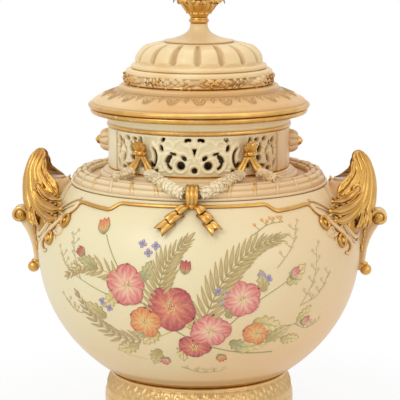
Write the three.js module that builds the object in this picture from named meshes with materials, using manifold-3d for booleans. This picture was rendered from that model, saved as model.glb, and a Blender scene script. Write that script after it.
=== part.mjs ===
// Lidded porcelain urn for scented petals: pierced collar, leaf handles, inner lid and domed cover.
// Millimetres, +Z up. The origin is the centre of the foot's underside and the painted front faces -Y.
// Angles round the urn are in degrees from the front, growing towards +X.

import * as THREE from 'three';
import { mergeVertices } from 'three/addons/utils/BufferGeometryUtils.js';
import Module from 'manifold-3d';

const wasm = await Module();
wasm.setup();

// Foot
const footHeight = 32;
const footSpread = 6.6;
const footBandHeight = 17.4;
const footWall = 8;
const footEdge = 1.6;

// Bowl
const bowlRadius = 119;
const bowlBottomRadius = 64;
const bowlLowerHeight = 93;
const bowlUpperHeight = 48;
const bowlWall = 5;
const bowlFloor = 7;

// Shoulder, from its lip inwards: reeded band, cove, base of the collar and ledge for the inner lid
const shoulderInset = 24.6;
const shoulderLip = 1.8;
const bandInset = 1.6;
const bandWidth = 13.2;
const bandSlope = 3.2;
const bandHeight = 6.4;
const reedDepth = 1;
const tieCount = 30;
const tieLift = 0.6;
const coveWidth = 8.1;
const coveDepth = 0.8;
const collarBaseHeight = 7;
const collarInset = 5.9;
const ledgeWidth = 7.8;
const ledgeThickness = 4;
const throatFlare = 4;

// Pierced collar
const collarHeight = 29;
const collarWall = 4.8;
const pilasterHalfAngle = 12;
const pilasterRelief = 1.2;
const collarFillet = 0.8;

// Rim
const rimFlare = 14;
const rimHeight = 13.4;
const rimWall = 5;

// Cover, from its edge inwards
const coverOverhang = 1.4;
const coverEdge = 2.2;
const flangeWidth = 25.7;
const flangeRise = 17.2;
const coverWall = 4.6;
const bezelDepth = 9;
const bezelWall = 3.4;
const garlandRingHeight = 11;
const garlandRingWidth = 8.7;
const ringMoulding = 2.6;
const domeBaseHeight = 4.4;
const domeMoulding = 2.6;
const domeHeight = 18.4;
const domeTopShare = 0.58;
const domeWall = 5;
const gadroonCount = 16;
const gadroonDepth = 2;
const spireHeight = 13;
const spireTopRadius = 6.4;
const spireInset = 1.4;
const spireFillet = 1;

// Finial
const finialRingRadius = 7.2;
const finialRingHeight = 4.2;
const calyxRadius = 13.2;
const calyxHeight = 12.4;
const leafTipRadius = 19.3;
const finialLeafCount = 6;
const finialLeafWidth = 6;
const finialLeafThickness = 1;
const budRadius = 9.4;
const budHeight = 22;

// Inner lid
const innerLidThickness = 4;
const innerLidCrown = 3;
const innerKnobRadius = 8;
const innerKnobHeight = 16;

// Applied ornament
const garlandRadius = 3.7;
const festoonStart = 27;
const dropAngle = 40.5;
const dropLength = 21;
const bowAngle = 33.4;
const bowHeight = 17.3;
const bowWidth = 15;
const bowRibbonWidth = 3;
const loopRise = 6.6;
const knotRadius = 2.8;
const ribbonWidth = 10;
const ribbonThickness = 2;
const tailWidth = 8;
const tailReach = 28;
const tailDrop = 16;
const tailFolds = 6;
const foldHeight = 1.5;
const bossRadius = 8.2;
const bossHeight = 7;
const studRadius = 3.6;
const studLength = 4.4;
const frameWidth = 2.8;
const frameRelief = 1.5;
const frameTopAngle = 32;
const frameEarAngle = 53;
const frameDrop = 3;
const frameStep = 4.2;
const scrollWidth = 2.6;
const scrollRelief = 1.9;
const upperVoluteRadius = 4.8;
const lowerVoluteRadius = 7.2;
const scrollRun = 15.4;
const scrollFall = 13.7;

// Handles
const handleStand = 10;
const leafFoot = 15.7;
const leafHeight = 56;
const leafDepth = 29;
const leafHalfWidth = 27;
const handleWall = 3.2;
const fluteDepth = 1.1;
const voluteRadius = 6.6;
const voluteWidth = 13;
const bracketWidth = 8;
const bracketDepth = 8.5;
const bracketRoot = 8;
const ballRadius = 4.3;
const ballDrop = 17.3;

// Clearances: between pieces that rest on each other, and where the lids slide
const seam = 0.3;
const lidClearance = 0.8;

// Facets round a full turn
const turnSteps = 32;
const smallSteps = 12;

// Radii that follow from the sizes above, from the foot up to the cover
const footTopRadius = bowlBottomRadius - seam;
const footRadius = footTopRadius + footSpread;
const shoulderRadius = bowlRadius - shoulderInset;
const bandOuterRadius = shoulderRadius - bandInset;
const bandInnerRadius = bandOuterRadius - bandWidth;
const collarBaseRadius = bandInnerRadius - coveWidth;
const collarRadius = collarBaseRadius - collarInset;
const neckRadius = collarRadius - collarWall;
const ledgeRadius = neckRadius - ledgeWidth;
const rimRadius = collarRadius + rimFlare;
const coverRadius = rimRadius + coverOverhang;
const garlandRingRadius = coverRadius - flangeWidth;
const domeRadius = garlandRingRadius - garlandRingWidth;
const domeTopRadius = domeRadius * domeTopShare;
const handleReach = bowlRadius + handleStand;

// Heights that follow from the sizes above
const bowlBase = footHeight + seam;
const widestHeight = bowlBase + bowlLowerHeight;
const shoulderBase = widestHeight + bowlUpperHeight;
const bandBase = shoulderBase + seam + shoulderLip;
const collarBase = shoulderBase + seam + shoulderLip + bandSlope + collarBaseHeight;
const collarTop = collarBase + seam + collarHeight;
const rimBase = collarTop + seam;
const rimTop = rimBase + rimHeight;
const coverBase = rimTop + seam;
const flangeTop = coverBase + flangeRise;
const garlandRingBase = flangeTop + seam;
const domeBase = garlandRingBase + garlandRingHeight + seam;
const spireBase = domeBase + domeHeight + seam;
const finialBase = spireBase + spireHeight + seam;
const calyxBase = finialBase + finialRingHeight + seam;
const budBase = calyxBase + calyxHeight + seam;
const handleBottom = widestHeight + leafFoot;
const ballHeight = widestHeight - ballDrop;

const radians = THREE.MathUtils.degToRad;
const degrees = THREE.MathUtils.radToDeg;
const mix = THREE.MathUtils.lerp;

// Finishes
const ivory = { color: 0xf0e0c2, roughness: 0.5, metalness: 0 };
const blush = { color: 0xe9cfae, roughness: 0.5, metalness: 0 };
const gilding = { color: 0xc48a3a, roughness: 0.35, metalness: 0.9 };

const urn = new THREE.Group();

function addPiece(name, geometry, finish) {
  const mesh = new THREE.Mesh(geometry, new THREE.MeshStandardMaterial(finish));
  mesh.name = name;
  urn.add(mesh);
}

// Shared vertices are merged, slivers of no area dropped and the faces turned outwards
function closedGeometry(geometry) {
  const bare = geometry.index ? geometry.clone() : geometry;
  bare.deleteAttribute('normal');
  bare.deleteAttribute('uv');
  const merged = mergeVertices(bare, 1e-4);
  const position = merged.getAttribute('position');
  const index = merged.getIndex().array;
  const a = new THREE.Vector3();
  const b = new THREE.Vector3();
  const c = new THREE.Vector3();
  let kept = [];
  let volume = 0;
  for (let i = 0; i < index.length; i += 3) {
    const [p, q, r] = index.slice(i, i + 3);
    if (p === q || q === r || r === p) continue;
    kept.push([p, q, r]);
    a.fromBufferAttribute(position, p);
    b.fromBufferAttribute(position, q);
    c.fromBufferAttribute(position, r);
    volume += a.dot(b.cross(c));
  }
  if (volume < 0) kept = kept.map(([p, q, r]) => [p, r, q]);
  merged.setIndex(kept.flat());
  return merged;
}

function toSolid(geometry) {
  const closed = closedGeometry(geometry);
  return new wasm.Manifold(new wasm.Mesh({
    numProp: 3,
    vertProperties: new Float32Array(closed.getAttribute('position').array),
    triVerts: new Uint32Array(closed.getIndex().array),
  }));
}

function toGeometry(solid) {
  const mesh = solid.getMesh();
  const geometry = new THREE.BufferGeometry();
  geometry.setAttribute('position', new THREE.BufferAttribute(mesh.vertProperties, 3));
  geometry.setIndex(new THREE.BufferAttribute(mesh.triVerts, 1));
  return geometry;
}

// A turned piece: the profile is a list of [radius, height], closed on itself
function turned(profile, steps = turnSteps) {
  const points = [...profile, profile[0]].map(([r, z]) => new THREE.Vector2(r, z));
  return closedGeometry(new THREE.LatheGeometry(points, steps).rotateX(Math.PI / 2));
}

// A turned piece that reaches the axis at both ends of its profile
function turnedSolid(profile, steps = turnSteps) {
  const points = profile.map(([r, z]) => new THREE.Vector2(r, z));
  return closedGeometry(new THREE.LatheGeometry(points, steps).rotateX(Math.PI / 2));
}

// A body through a list of rings with equal counts; ring ends are closed, or the list joins up
function lofted(rings, joined = false) {
  const count = rings[0].length;
  const points = rings.flat();
  const faces = [];
  const spans = joined ? rings.length : rings.length - 1;
  for (let i = 0; i < spans; i += 1) {
    const here = i * count;
    const next = ((i + 1) % rings.length) * count;
    for (let j = 0; j < count; j += 1) {
      const k = (j + 1) % count;
      faces.push(here + j, here + k, next + k, here + j, next + k, next + j);
    }
  }
  if (!joined) {
    const last = (rings.length - 1) * count;
    for (let j = 0; j < count / 2 - 1; j += 1) {
      const far = count - 1 - j;
      faces.push(j + 1, j, far, j + 1, far, far - 1);
      faces.push(last + j, last + j + 1, last + far, last + j + 1, last + far - 1, last + far);
    }
  }
  const geometry = new THREE.BufferGeometry();
  const places = points.flatMap((point) => [point.x, point.y, point.z]);
  geometry.setAttribute('position', new THREE.Float32BufferAttribute(places, 3));
  geometry.setIndex(faces);
  return closedGeometry(geometry);
}

// A point round the urn
function polar(angle, radius, height) {
  return new THREE.Vector3(radius * Math.sin(radians(angle)), -radius * Math.cos(radians(angle)), height);
}

// Bowl: two half ellipses that meet at the widest place
const lowerAxis = bowlLowerHeight / Math.sqrt(1 - (bowlBottomRadius / bowlRadius) ** 2);
const upperAxis = bowlUpperHeight / Math.sqrt(1 - (shoulderRadius / bowlRadius) ** 2);

function axisAt(height) {
  return height > widestHeight ? upperAxis : lowerAxis;
}

function bowlAt(height) {
  return bowlRadius * Math.sqrt(Math.max(0, 1 - ((height - widestHeight) / axisAt(height)) ** 2));
}

// The bowl's section between two heights, drawn in from its outer face by the inset
function bowlCurve(low, high, steps, inset) {
  const turnAt = (height) => Math.asin((height - widestHeight) / (axisAt(height) - inset));
  const curve = [];
  for (let i = 0; i <= steps; i += 1) {
    const turn = mix(turnAt(low), turnAt(high), i / steps);
    const axis = (turn > 0 ? upperAxis : lowerAxis) - inset;
    curve.push([(bowlRadius - inset) * Math.cos(turn), widestHeight + axis * Math.sin(turn)]);
  }
  return curve;
}

const bowlOuter = bowlCurve(bowlBase, shoulderBase, 8, 0);
const bowlInner = bowlCurve(bowlBase + bowlFloor, shoulderBase, 4, bowlWall).reverse();

function makeFoot() {
  const inner = footTopRadius - footWall;
  const slope = footHeight - footBandHeight;
  return turned([
    [footRadius - footEdge, 0],
    [footRadius, footEdge],
    [footRadius, footBandHeight],
    [mix(footTopRadius, footRadius, 0.62), footBandHeight + slope * 0.35],
    [footTopRadius, footHeight],
    [inner, footHeight],
    [footRadius - footWall, footBandHeight],
    [footRadius - footWall, 0],
  ]);
}

function makeBowl() {
  return turnedSolid([[0, bowlBase], ...bowlOuter, ...bowlInner, [0, bowlBase + bowlFloor]]);
}

// Shoulder: a lip over the bowl, a slope for the reeded band, a cove and the collar's base moulding
const bandTopHeight = bandBase + bandSlope;
const shoulderOuter = [
  [shoulderRadius, shoulderBase + seam],
  [shoulderRadius, bandBase],
  [bandOuterRadius + seam, bandBase],
  [bandInnerRadius - seam, bandTopHeight],
  [mix(collarBaseRadius, bandInnerRadius, 0.62), bandTopHeight - coveDepth],
  [mix(collarBaseRadius, bandInnerRadius, 0.1), bandTopHeight + coveDepth / 2],
  [collarBaseRadius, bandTopHeight + collarBaseHeight * 0.45],
  [mix(collarBaseRadius, collarRadius, 0.38), bandTopHeight + collarBaseHeight * 0.8],
  [collarRadius + collarFillet, collarBase],
];

function makeShoulder() {
  const ledgeTop = collarBase - innerLidThickness;
  return turned([
    ...shoulderOuter,
    [neckRadius, collarBase],
    [neckRadius, ledgeTop],
    [ledgeRadius, ledgeTop],
    [ledgeRadius, ledgeTop - ledgeThickness],
    [neckRadius + throatFlare, shoulderBase + seam],
  ]);
}

// Reeded band: three reeds under crossing ties, as one joined loft round the shoulder
function bandPoint(turn, lift) {
  const middle = (bandOuterRadius + bandInnerRadius) / 2;
  const half = (bandOuterRadius - bandInnerRadius) / 2;
  const rise = Math.sin(turn) * (bandHeight + lift);
  const level = bandBase + bandSlope / 2 - (bandSlope / 2) * Math.cos(turn);
  return [middle + (half + lift * Math.abs(Math.cos(turn))) * Math.cos(turn), level + rise + seam];
}

function makeReededBand() {
  const rings = [];
  for (let tie = 0; tie < tieCount; tie += 1) {
    for (const [share, isTie] of [[-0.14, 0], [0, 1], [0.14, 0]]) {
      const angle = ((tie + 0.5 + share) * 360) / tieCount;
      const ring = [];
      for (let step = 0; step <= 6; step += 1) {
        const foot = step === 0 || step === 6;
        const valley = step % 2 === 0 && !foot;
        const lift = foot ? 0 : isTie * tieLift - (valley && !isTie ? reedDepth : 0);
        const [r, z] = bandPoint((Math.PI * step) / 6, lift);
        ring.push(polar(angle, r, z));
      }
      rings.push(ring);
    }
  }
  return lofted(rings, true);
}

// Collar: a plain tube with two pilasters, pierced by scrollwork that mirrors about the front and the back
function dot(x, y, radius) {
  const corners = [];
  for (let i = 0; i < 6; i += 1) {
    const angle = (Math.PI * i) / 3;
    corners.push(new THREE.Vector2(x + radius * Math.cos(angle), y + radius * Math.sin(angle)));
  }
  return new THREE.Shape(corners);
}

function leafHole(x, y, length, width, tilt) {
  const shape = new THREE.Shape();
  const along = new THREE.Vector2(length / 2, 0).rotateAround(new THREE.Vector2(), radians(tilt));
  const across = new THREE.Vector2(0, width).rotateAround(new THREE.Vector2(), radians(tilt));
  shape.moveTo(x - along.x, y - along.y);
  shape.quadraticCurveTo(x + across.x, y + across.y, x + along.x, y + along.y);
  shape.quadraticCurveTo(x - across.x * 0.4, y - across.y * 0.4, x - along.x, y - along.y);
  return shape;
}

function crescent(x, y, radius, from, to, width) {
  const corners = [];
  for (const [reach, share] of [[0, 0], [0, 0.33], [0, 0.67], [0, 1], [width, 0.75], [width, 0.25]]) {
    const angle = radians(mix(from, to, share));
    const size = radius - reach;
    corners.push(new THREE.Vector2(x + size * Math.cos(angle), y + size * Math.sin(angle)));
  }
  return new THREE.Shape(corners);
}

function wedge(x, y, width, height) {
  const shape = new THREE.Shape();
  shape.moveTo(x - width / 2, y + height / 2);
  shape.lineTo(x + width / 2, y + height / 2);
  shape.lineTo(x, y - height / 2);
  return shape;
}

// One half panel: each hole is placed by its share of the way out to the pilaster and up the collar
const panelReach = radians(90 - pilasterHalfAngle) * collarRadius;
const alongPanel = (share) => share * panelReach;
const upPanel = (share) => share * collarHeight;
const halfPanel = [
  dot(alongPanel(0.116), upPanel(0.245), 2.3),
  leafHole(alongPanel(0.096), upPanel(0.41), 4, 2.6, 30),
  leafHole(alongPanel(0.179), upPanel(0.541), 4.6, 2, 18),
  crescent(alongPanel(0.208), upPanel(0.328), 4.2, -70, 70, 1.8),
  leafHole(alongPanel(0.056), upPanel(0.824), 4, 2.6, -20),
  leafHole(alongPanel(0.273), upPanel(0.831), 3.8, 2.6, -50),
  leafHole(alongPanel(0.275), upPanel(0.617), 4.6, 3, 70),
  crescent(alongPanel(0.42), upPanel(0.466), 10.6, 120, 235, 2),
  leafHole(alongPanel(0.564), upPanel(0.61), 6, 3, 70),
  leafHole(alongPanel(0.553), upPanel(0.266), 6, 3, 110),
  leafHole(alongPanel(0.641), upPanel(0.762), 6.4, 3, -50),
  leafHole(alongPanel(0.654), upPanel(0.307), 7, 3, 60),
];
const middleHoles = [dot(0, upPanel(0.141), 1.8), wedge(0, upPanel(0.548), 2.8, 5)];

// A flat outline becomes a cutter bent round the collar, thicker than its wall by a margin on each side
function bentCutter(shape, turn, mirror) {
  const margin = collarWall / 2;
  const settings = { depth: collarWall + 2 * margin, bevelEnabled: false, curveSegments: 2 };
  const geometry = new THREE.ExtrudeGeometry(shape, settings);
  const position = geometry.getAttribute('position');
  for (let i = 0; i < position.count; i += 1) {
    const angle = turn + mirror * degrees(position.getX(i) / collarRadius);
    const radius = neckRadius - margin + position.getZ(i);
    const point = polar(angle, radius, collarBase + seam + position.getY(i));
    position.setXYZ(i, point.x, point.y, point.z);
  }
  return toSolid(geometry);
}

function pilaster(turn) {
  const steps = [-1, -0.33, 0.33, 1].map((share) => turn + share * pilasterHalfAngle);
  const rings = steps.map((angle) => [
    polar(angle, collarRadius - collarWall / 2, collarBase + seam),
    polar(angle, collarRadius + pilasterRelief, collarBase + seam),
    polar(angle, collarRadius + pilasterRelief, collarTop),
    polar(angle, collarRadius - collarWall / 2, collarTop),
  ]);
  return toSolid(lofted(rings));
}

function makeCollar() {
  const tube = turned([
    [collarRadius, collarBase + seam],
    [collarRadius, collarTop],
    [neckRadius, collarTop],
    [neckRadius, collarBase + seam],
  ]);
  let solid = toSolid(tube).add(pilaster(90)).add(pilaster(-90));
  for (const turn of [0, 180]) {
    for (const hole of middleHoles) solid = solid.subtract(bentCutter(hole, turn, 1));
    for (const hole of halfPanel) {
      solid = solid.subtract(bentCutter(hole, turn, 1)).subtract(bentCutter(hole, turn, -1));
    }
  }
  return toGeometry(solid);
}

const rimOuter = [
  [collarRadius + collarFillet, rimBase],
  [collarRadius + collarFillet, rimBase + rimHeight * 0.08],
  [mix(collarRadius, rimRadius, 0.24), rimBase + rimHeight * 0.34],
  [mix(collarRadius, rimRadius, 0.56), rimBase + rimHeight * 0.56],
  [rimRadius, rimBase + rimHeight * 0.78],
  [rimRadius - seam, rimTop],
];

function makeRim() {
  return turned([
    ...rimOuter,
    [rimRadius - rimWall, rimTop],
    [neckRadius, rimBase + rimHeight * 0.4],
    [neckRadius, rimBase],
  ]);
}

// The space that the bowl, shoulder, collar and rim take up, grown by the seam: ornament is cut to it
function grown(profile, distance) {
  return profile.map(([r, z], i) => {
    const [r0, z0] = profile[Math.max(0, i - 1)];
    const [r1, z1] = profile[Math.min(profile.length - 1, i + 1)];
    const length = Math.hypot(r1 - r0, z1 - z0);
    return [r + (distance * (z1 - z0)) / length, z - (distance * (r1 - r0)) / length];
  });
}

const bandEnvelope = [0, 1, 2, 3, 4, 5, 6].map((step) => bandPoint((Math.PI * step) / 6, tieLift));
const fixedOutline = [
  ...bowlOuter,
  ...shoulderOuter.slice(1, 2),
  ...bandEnvelope,
  ...shoulderOuter.slice(4),
  [collarRadius + pilasterRelief, collarBase + seam],
  [collarRadius + pilasterRelief, collarTop],
  ...rimOuter.slice(1),
];
const seatFoot = [[0, 0], [bowlBottomRadius, 0]];
const seat = toSolid(turnedSolid([...seatFoot, ...grown(fixedOutline, 2 * seam), [0, rimTop]]));

function seated(solid) {
  return toGeometry(solid.subtract(seat));
}

// What is laid on a turned body stands off it by a little more than the seam, to clear its flat facets
const ornamentLift = 2.4 * seam;

// A point on the bowl, or lifted off it along the surface's normal
function onBowl(angle, height, lift) {
  const slope = bowlAt(height + 0.5) - bowlAt(height - 0.5);
  const length = Math.hypot(1, slope);
  return polar(angle, bowlAt(height) + lift / length, height - (lift * slope) / length);
}

// A bar of even section along a path; its underside runs along the path itself
function surfaceBar(path, width, relief, taper = () => 1) {
  const rings = path.map((point, i) => {
    const before = path[Math.max(0, i - 1)];
    const after = path[Math.min(path.length - 1, i + 1)];
    const along = after.clone().sub(before).normalize();
    const out = new THREE.Vector3(point.x, point.y, 0).normalize();
    const side = along.clone().cross(out).normalize();
    const lift = side.clone().cross(along).normalize();
    const size = taper(i / (path.length - 1));
    const place = (across, up) => point.clone()
      .addScaledVector(side, across * width * size)
      .addScaledVector(lift, up);
    return [place(-0.5, 0), place(-0.36, relief * size), place(0.36, relief * size), place(0.5, 0)];
  });
  return lofted(rings);
}

// Points along a route of [angle, height], with no step wider than the given angle
function evenly(route, widest) {
  const points = [route[0]];
  for (let i = 1; i < route.length; i += 1) {
    const [angle, height] = route[i - 1];
    const [nextAngle, nextHeight] = route[i];
    const count = Math.ceil(Math.abs(nextAngle - angle) / widest) || 1;
    for (let j = 1; j <= count; j += 1) {
      const share = j / count;
      points.push([mix(angle, nextAngle, share), mix(height, nextHeight, share)]);
    }
  }
  return points;
}

// Gilt line of the painted panel: along under the lip, a step down, an ear, then down to the scrolls.
// With a clearance it is the space that the line needs among its neighbours.
function makePanelFrame(turn, clearance = 0) {
  const top = shoulderBase - frameDrop;
  const low = top - frameStep;
  const half = [
    [frameTopAngle - 2, top],
    [frameTopAngle + 2.4, low],
    [(frameTopAngle + frameEarAngle) / 2, low + 0.4],
    [frameEarAngle, low + 1.2],
    [frameEarAngle + 0.6, low - 4],
  ];
  const right = [[0, top], ...half];
  const left = half.slice().reverse().map(([angle, height]) => [-angle, height]);
  const route = evenly([...left, ...right], 6);
  const path = route.map(([angle, height]) => onBowl(turn + angle, height, ornamentLift));
  return surfaceBar(path, frameWidth + 2 * clearance, frameRelief + clearance);
}

// A scroll beside the handle: one line that winds out of an upper eye and into a lower one
function makeFrameScroll(turn, mirror) {
  const degreesPerMm = 180 / (Math.PI * bowlRadius);
  const start = shoulderBase - frameDrop - frameStep;
  const upper = { angle: frameEarAngle + 3, height: start - upperVoluteRadius * 2.6 };
  const lower = { angle: upper.angle + scrollRun * degreesPerMm, height: upper.height - scrollFall };
  const winding = (eye, radius, turnAngle) => [
    eye.angle + radius * Math.cos(radians(turnAngle)) * degreesPerMm,
    eye.height + radius * Math.sin(radians(turnAngle)),
  ];
  const route = [];
  for (let i = 0; i < 8; i += 1) {
    route.push(winding(upper, upperVoluteRadius * (0.3 + 0.1 * i), -60 - i * 50));
  }
  for (let i = 0; i < 9; i += 1) {
    route.push(winding(lower, lowerVoluteRadius * (1.1 - 0.1 * i), 105 - i * 52));
  }
  const path = route.map(([angle, height]) => onBowl(turn + mirror * angle, height, ornamentLift));
  const taper = (share) => 0.6 + 0.4 * Math.sin(Math.PI * share);
  return surfaceBar(path, scrollWidth, scrollRelief, taper);
}

// A round garland along a path, leafy: its radius swells and its section turns from ring to ring
function garland(points, radius, steps) {
  const curve = new THREE.CatmullRomCurve3(points);
  const rings = [];
  for (let i = 0; i <= steps; i += 1) {
    const share = i / steps;
    const centre = curve.getPointAt(share);
    const along = curve.getTangentAt(share);
    const side = new THREE.Vector3(0, 0, 1).cross(along).normalize();
    const lift = along.clone().cross(side).normalize();
    const end = Math.min(1, 0.45 + 3 * Math.min(share, 1 - share));
    const swell = radius * end * (i % 2 ? 1.12 : 0.92);
    const ring = [];
    for (let j = 0; j < 6; j += 1) {
      const angle = radians(30 + j * 60);
      ring.push(centre.clone()
        .addScaledVector(side, swell * Math.cos(angle))
        .addScaledVector(lift, swell * Math.sin(angle)));
    }
    rings.push(ring);
  }
  return toSolid(lofted(rings));
}

const garlandLift = garlandRadius - 0.6;
const bandMiddle = (bandOuterRadius + bandInnerRadius) / 2;
const bandCrest = bandBase + bandSlope / 2 + bandHeight;

function makeFestoon(turn, mirror) {
  const stop = degrees((ribbonWidth / 2 + 3 * seam) / bandMiddle);
  const route = [
    [festoonStart, collarRadius + garlandRadius * 1.2, bandCrest + garlandLift * 1.6],
    [festoonStart * 0.84, mix(collarBaseRadius, bandInnerRadius, 0.35), bandCrest + garlandLift * 1.2],
    [festoonStart * 0.63, mix(bandInnerRadius, bandMiddle, 0.45), bandCrest + garlandLift * 0.9],
    [festoonStart * 0.4, mix(bandMiddle, bandOuterRadius, 0.8), bandCrest],
    [stop, shoulderRadius + garlandLift * 0.4, bandBase + garlandLift],
  ];
  const points = route.map(([angle, r, z]) => polar(turn + mirror * angle, r, z));
  return seated(garland(points, garlandRadius, 7));
}

function makeDrop(turn, mirror) {
  const tip = collarRadius + dropLength;
  const route = [
    [dropAngle, collarRadius + garlandRadius, bandCrest + garlandLift * 1.8],
    [dropAngle, mix(collarBaseRadius, bandInnerRadius, 0.6), bandCrest + garlandLift * 1.1],
    [dropAngle, tip, bandCrest + garlandLift * 0.5],
  ];
  const points = route.map(([angle, r, z]) => polar(turn + mirror * angle, r, z));
  return seated(garland(points, garlandRadius * 0.95, 4));
}

// A flat ribbon along a path, with its face turned away from the urn
function ribbon(path, width, thickness, forked = false) {
  const rings = path.map((point, i) => {
    const before = path[Math.max(0, i - 1)];
    const after = path[Math.min(path.length - 1, i + 1)];
    const along = after.clone().sub(before).normalize();
    const out = new THREE.Vector3(point.x, point.y, 0).normalize();
    const side = along.clone().cross(out).normalize();
    const face = side.clone().cross(along).normalize();
    const notch = forked && i === path.length - 1 ? -width * 0.5 : 0;
    const place = (across, up, back = 0) => point.clone()
      .addScaledVector(side, across * width)
      .addScaledVector(face, up * thickness)
      .addScaledVector(along, back);
    if (!forked) return [place(-0.5, -0.5), place(-0.5, 0.5), place(0.5, 0.5), place(0.5, -0.5)];
    return [
      place(-0.5, -0.5), place(-0.5, 0.5), place(0, 0.5, notch),
      place(0.5, 0.5), place(0.5, -0.5), place(0, -0.5, notch),
    ];
  });
  return lofted(rings);
}

// A bow on the collar: a knot, two loops and two tails, one to the garland and one to the drop
function makeBow(turn, mirror) {
  const height = collarBase + seam + bowHeight;
  const face = collarRadius + ribbonThickness / 2 + ornamentLift;
  const at = (across, up, out) => {
    const angle = turn + mirror * (bowAngle + degrees(across / collarRadius));
    return polar(angle, face + out, height + up);
  };
  const knot = new THREE.SphereGeometry(knotRadius, 6, 4).rotateX(Math.PI / 2);
  const centre = at(0, 0, 1);
  let solid = toSolid(knot.translate(centre.x, centre.y, centre.z));
  for (const side of [-1, 1]) {
    const reach = (side * bowWidth) / 2;
    const upper = [
      at(0, 0.8, 1),
      at(reach * 0.6, loopRise, 2.2),
      at(reach * 1.05, loopRise * 0.6, 1.2),
    ];
    const lower = [
      at(reach, loopRise * 0.8, 1.4),
      at(reach * 0.75, -0.4, 0.6),
      at(0, -0.8, 0.8),
    ];
    const away = side > 0 ? dropAngle - bowAngle : bowAngle - festoonStart;
    const foot = radians(away) * collarRadius * side;
    const tail = [
      at(0, -0.6, 1),
      at(foot * 0.45, -bowHeight * 0.32, 0.4),
      at(foot * 0.9, -bowHeight * 0.64, 0.8),
    ];
    for (const strand of [upper, lower, tail]) {
      solid = solid.add(toSolid(ribbon(strand, bowRibbonWidth, ribbonThickness * 0.8)));
    }
  }
  return toGeometry(solid);
}

// The ribbon that binds the festoon's middle: a strap from the reeded band over the garland to the bowl
function strapPath(turn) {
  const out = garlandRadius * 2;
  const route = [
    [mix(bandMiddle, bandOuterRadius, 0.65), bandCrest - garlandLift * 0.3],
    [shoulderRadius + out * 0.1, bandCrest - garlandLift * 0.5],
    [shoulderRadius + out * 0.62, bandBase + out * 0.62],
    [shoulderRadius + out * 0.74, bandBase - shoulderLip],
    [shoulderRadius + out * 0.5, shoulderBase - frameDrop + frameWidth / 2],
  ];
  return route.map(([r, z]) => polar(turn, r, z));
}

function makeRibbonStrap(turn) {
  const strap = toSolid(ribbon(strapPath(turn), ribbonWidth, ribbonThickness * 2));
  return seated(strap.subtract(toSolid(makePanelFrame(turn, seam))));
}

// A folded tail of that ribbon, which runs down and outwards over the bowl and ends in a fork
function makeRibbonTail(turn, mirror) {
  const top = shoulderBase - frameDrop - frameWidth / 2 - seam;
  const path = [];
  for (let i = 0; i <= tailFolds; i += 1) {
    const share = i / tailFolds;
    const height = top - tailDrop * share;
    const lift = ribbonThickness / 2 + 2.3 * ornamentLift + (i % 2 ? foldHeight : 0);
    const across = mix(tailWidth * 0.75, tailReach, share);
    path.push(onBowl(turn + mirror * degrees(across / bowlAt(height)), height, lift));
  }
  return ribbon(path, tailWidth, ribbonThickness, true);
}

// Side boss: an eight-petalled rosette with a pointed stud, turned to face away from the collar
function makeBoss(side) {
  const sunk = 1.5;
  const base = collarRadius + pilasterRelief + seam;
  const rings = [];
  const stations = [
    [0.82, -sunk],
    [1, bossHeight * 0.25],
    [0.86, bossHeight * 0.62],
    [0.5, bossHeight * 0.8],
    [studRadius / bossRadius, bossHeight],
    [0.12, bossHeight + studLength],
  ];
  stations.forEach(([size, out], level) => {
    const ring = [];
    for (let j = 0; j < smallSteps; j += 1) {
      const petal = level > 0 && level < 4 && j % 2 ? 0.88 : 1;
      const angle = (Math.PI * 2 * j) / smallSteps;
      const reach = bossRadius * size * petal;
      ring.push(new THREE.Vector3(base + out, reach * Math.cos(angle), reach * Math.sin(angle)));
    }
    rings.push(ring);
  });
  const body = lofted(rings).translate(0, 0, collarBase + seam + collarHeight * 0.62);
  return seated(toSolid(side > 0 ? body : body.rotateZ(Math.PI)));
}

// Handle: a hollow curled leaf that opens towards the collar, with flutes down its back.
// Each station gives shares: of the leaf's height, of its depth in from the reach to its back
// and to the edge of its mouth, and of half its width.
const leafStations = [
  [0, 0.31, 0.828, 0.42],
  [0.14, 0.09, 0.966, 0.8],
  [0.32, 0.02, 1, 1],
  [0.48, 0, 0.966, 0.84],
  [0.64, 0.014, 0.828, 0.62],
  [0.8, 0.09, 0.607, 0.52],
  [0.94, 0.207, 0.614, 0.42],
  [1, 0.324, 0.538, 0.24],
];
const closedWall = leafHalfWidth;

function leafSection(height, back, edge, halfWidth, wall) {
  const depth = back - edge;
  const outer = [];
  const inner = [];
  for (let j = 0; j <= 8; j += 1) {
    const angle = radians(-90 + j * 22.5);
    const flute = j % 2 ? 0 : fluteDepth;
    const at = (x, y) => new THREE.Vector3(edge + x * Math.cos(angle), y * Math.sin(angle), height);
    outer.push(at(depth - flute, halfWidth - flute * 0.3));
    inner.push(at(Math.max(seam, depth - wall), Math.max(seam, halfWidth - wall)));
  }
  return [...outer, ...inner.reverse()];
}

function makeLeaf() {
  const rings = leafStations.map(([share, back, edge, halfWidth], i) => leafSection(
    handleBottom + leafHeight * share,
    handleReach - leafDepth * back,
    handleReach - leafDepth * edge,
    leafHalfWidth * halfWidth,
    i === leafStations.length - 1 ? closedWall : handleWall,
  ));
  return toSolid(lofted(rings));
}

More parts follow.
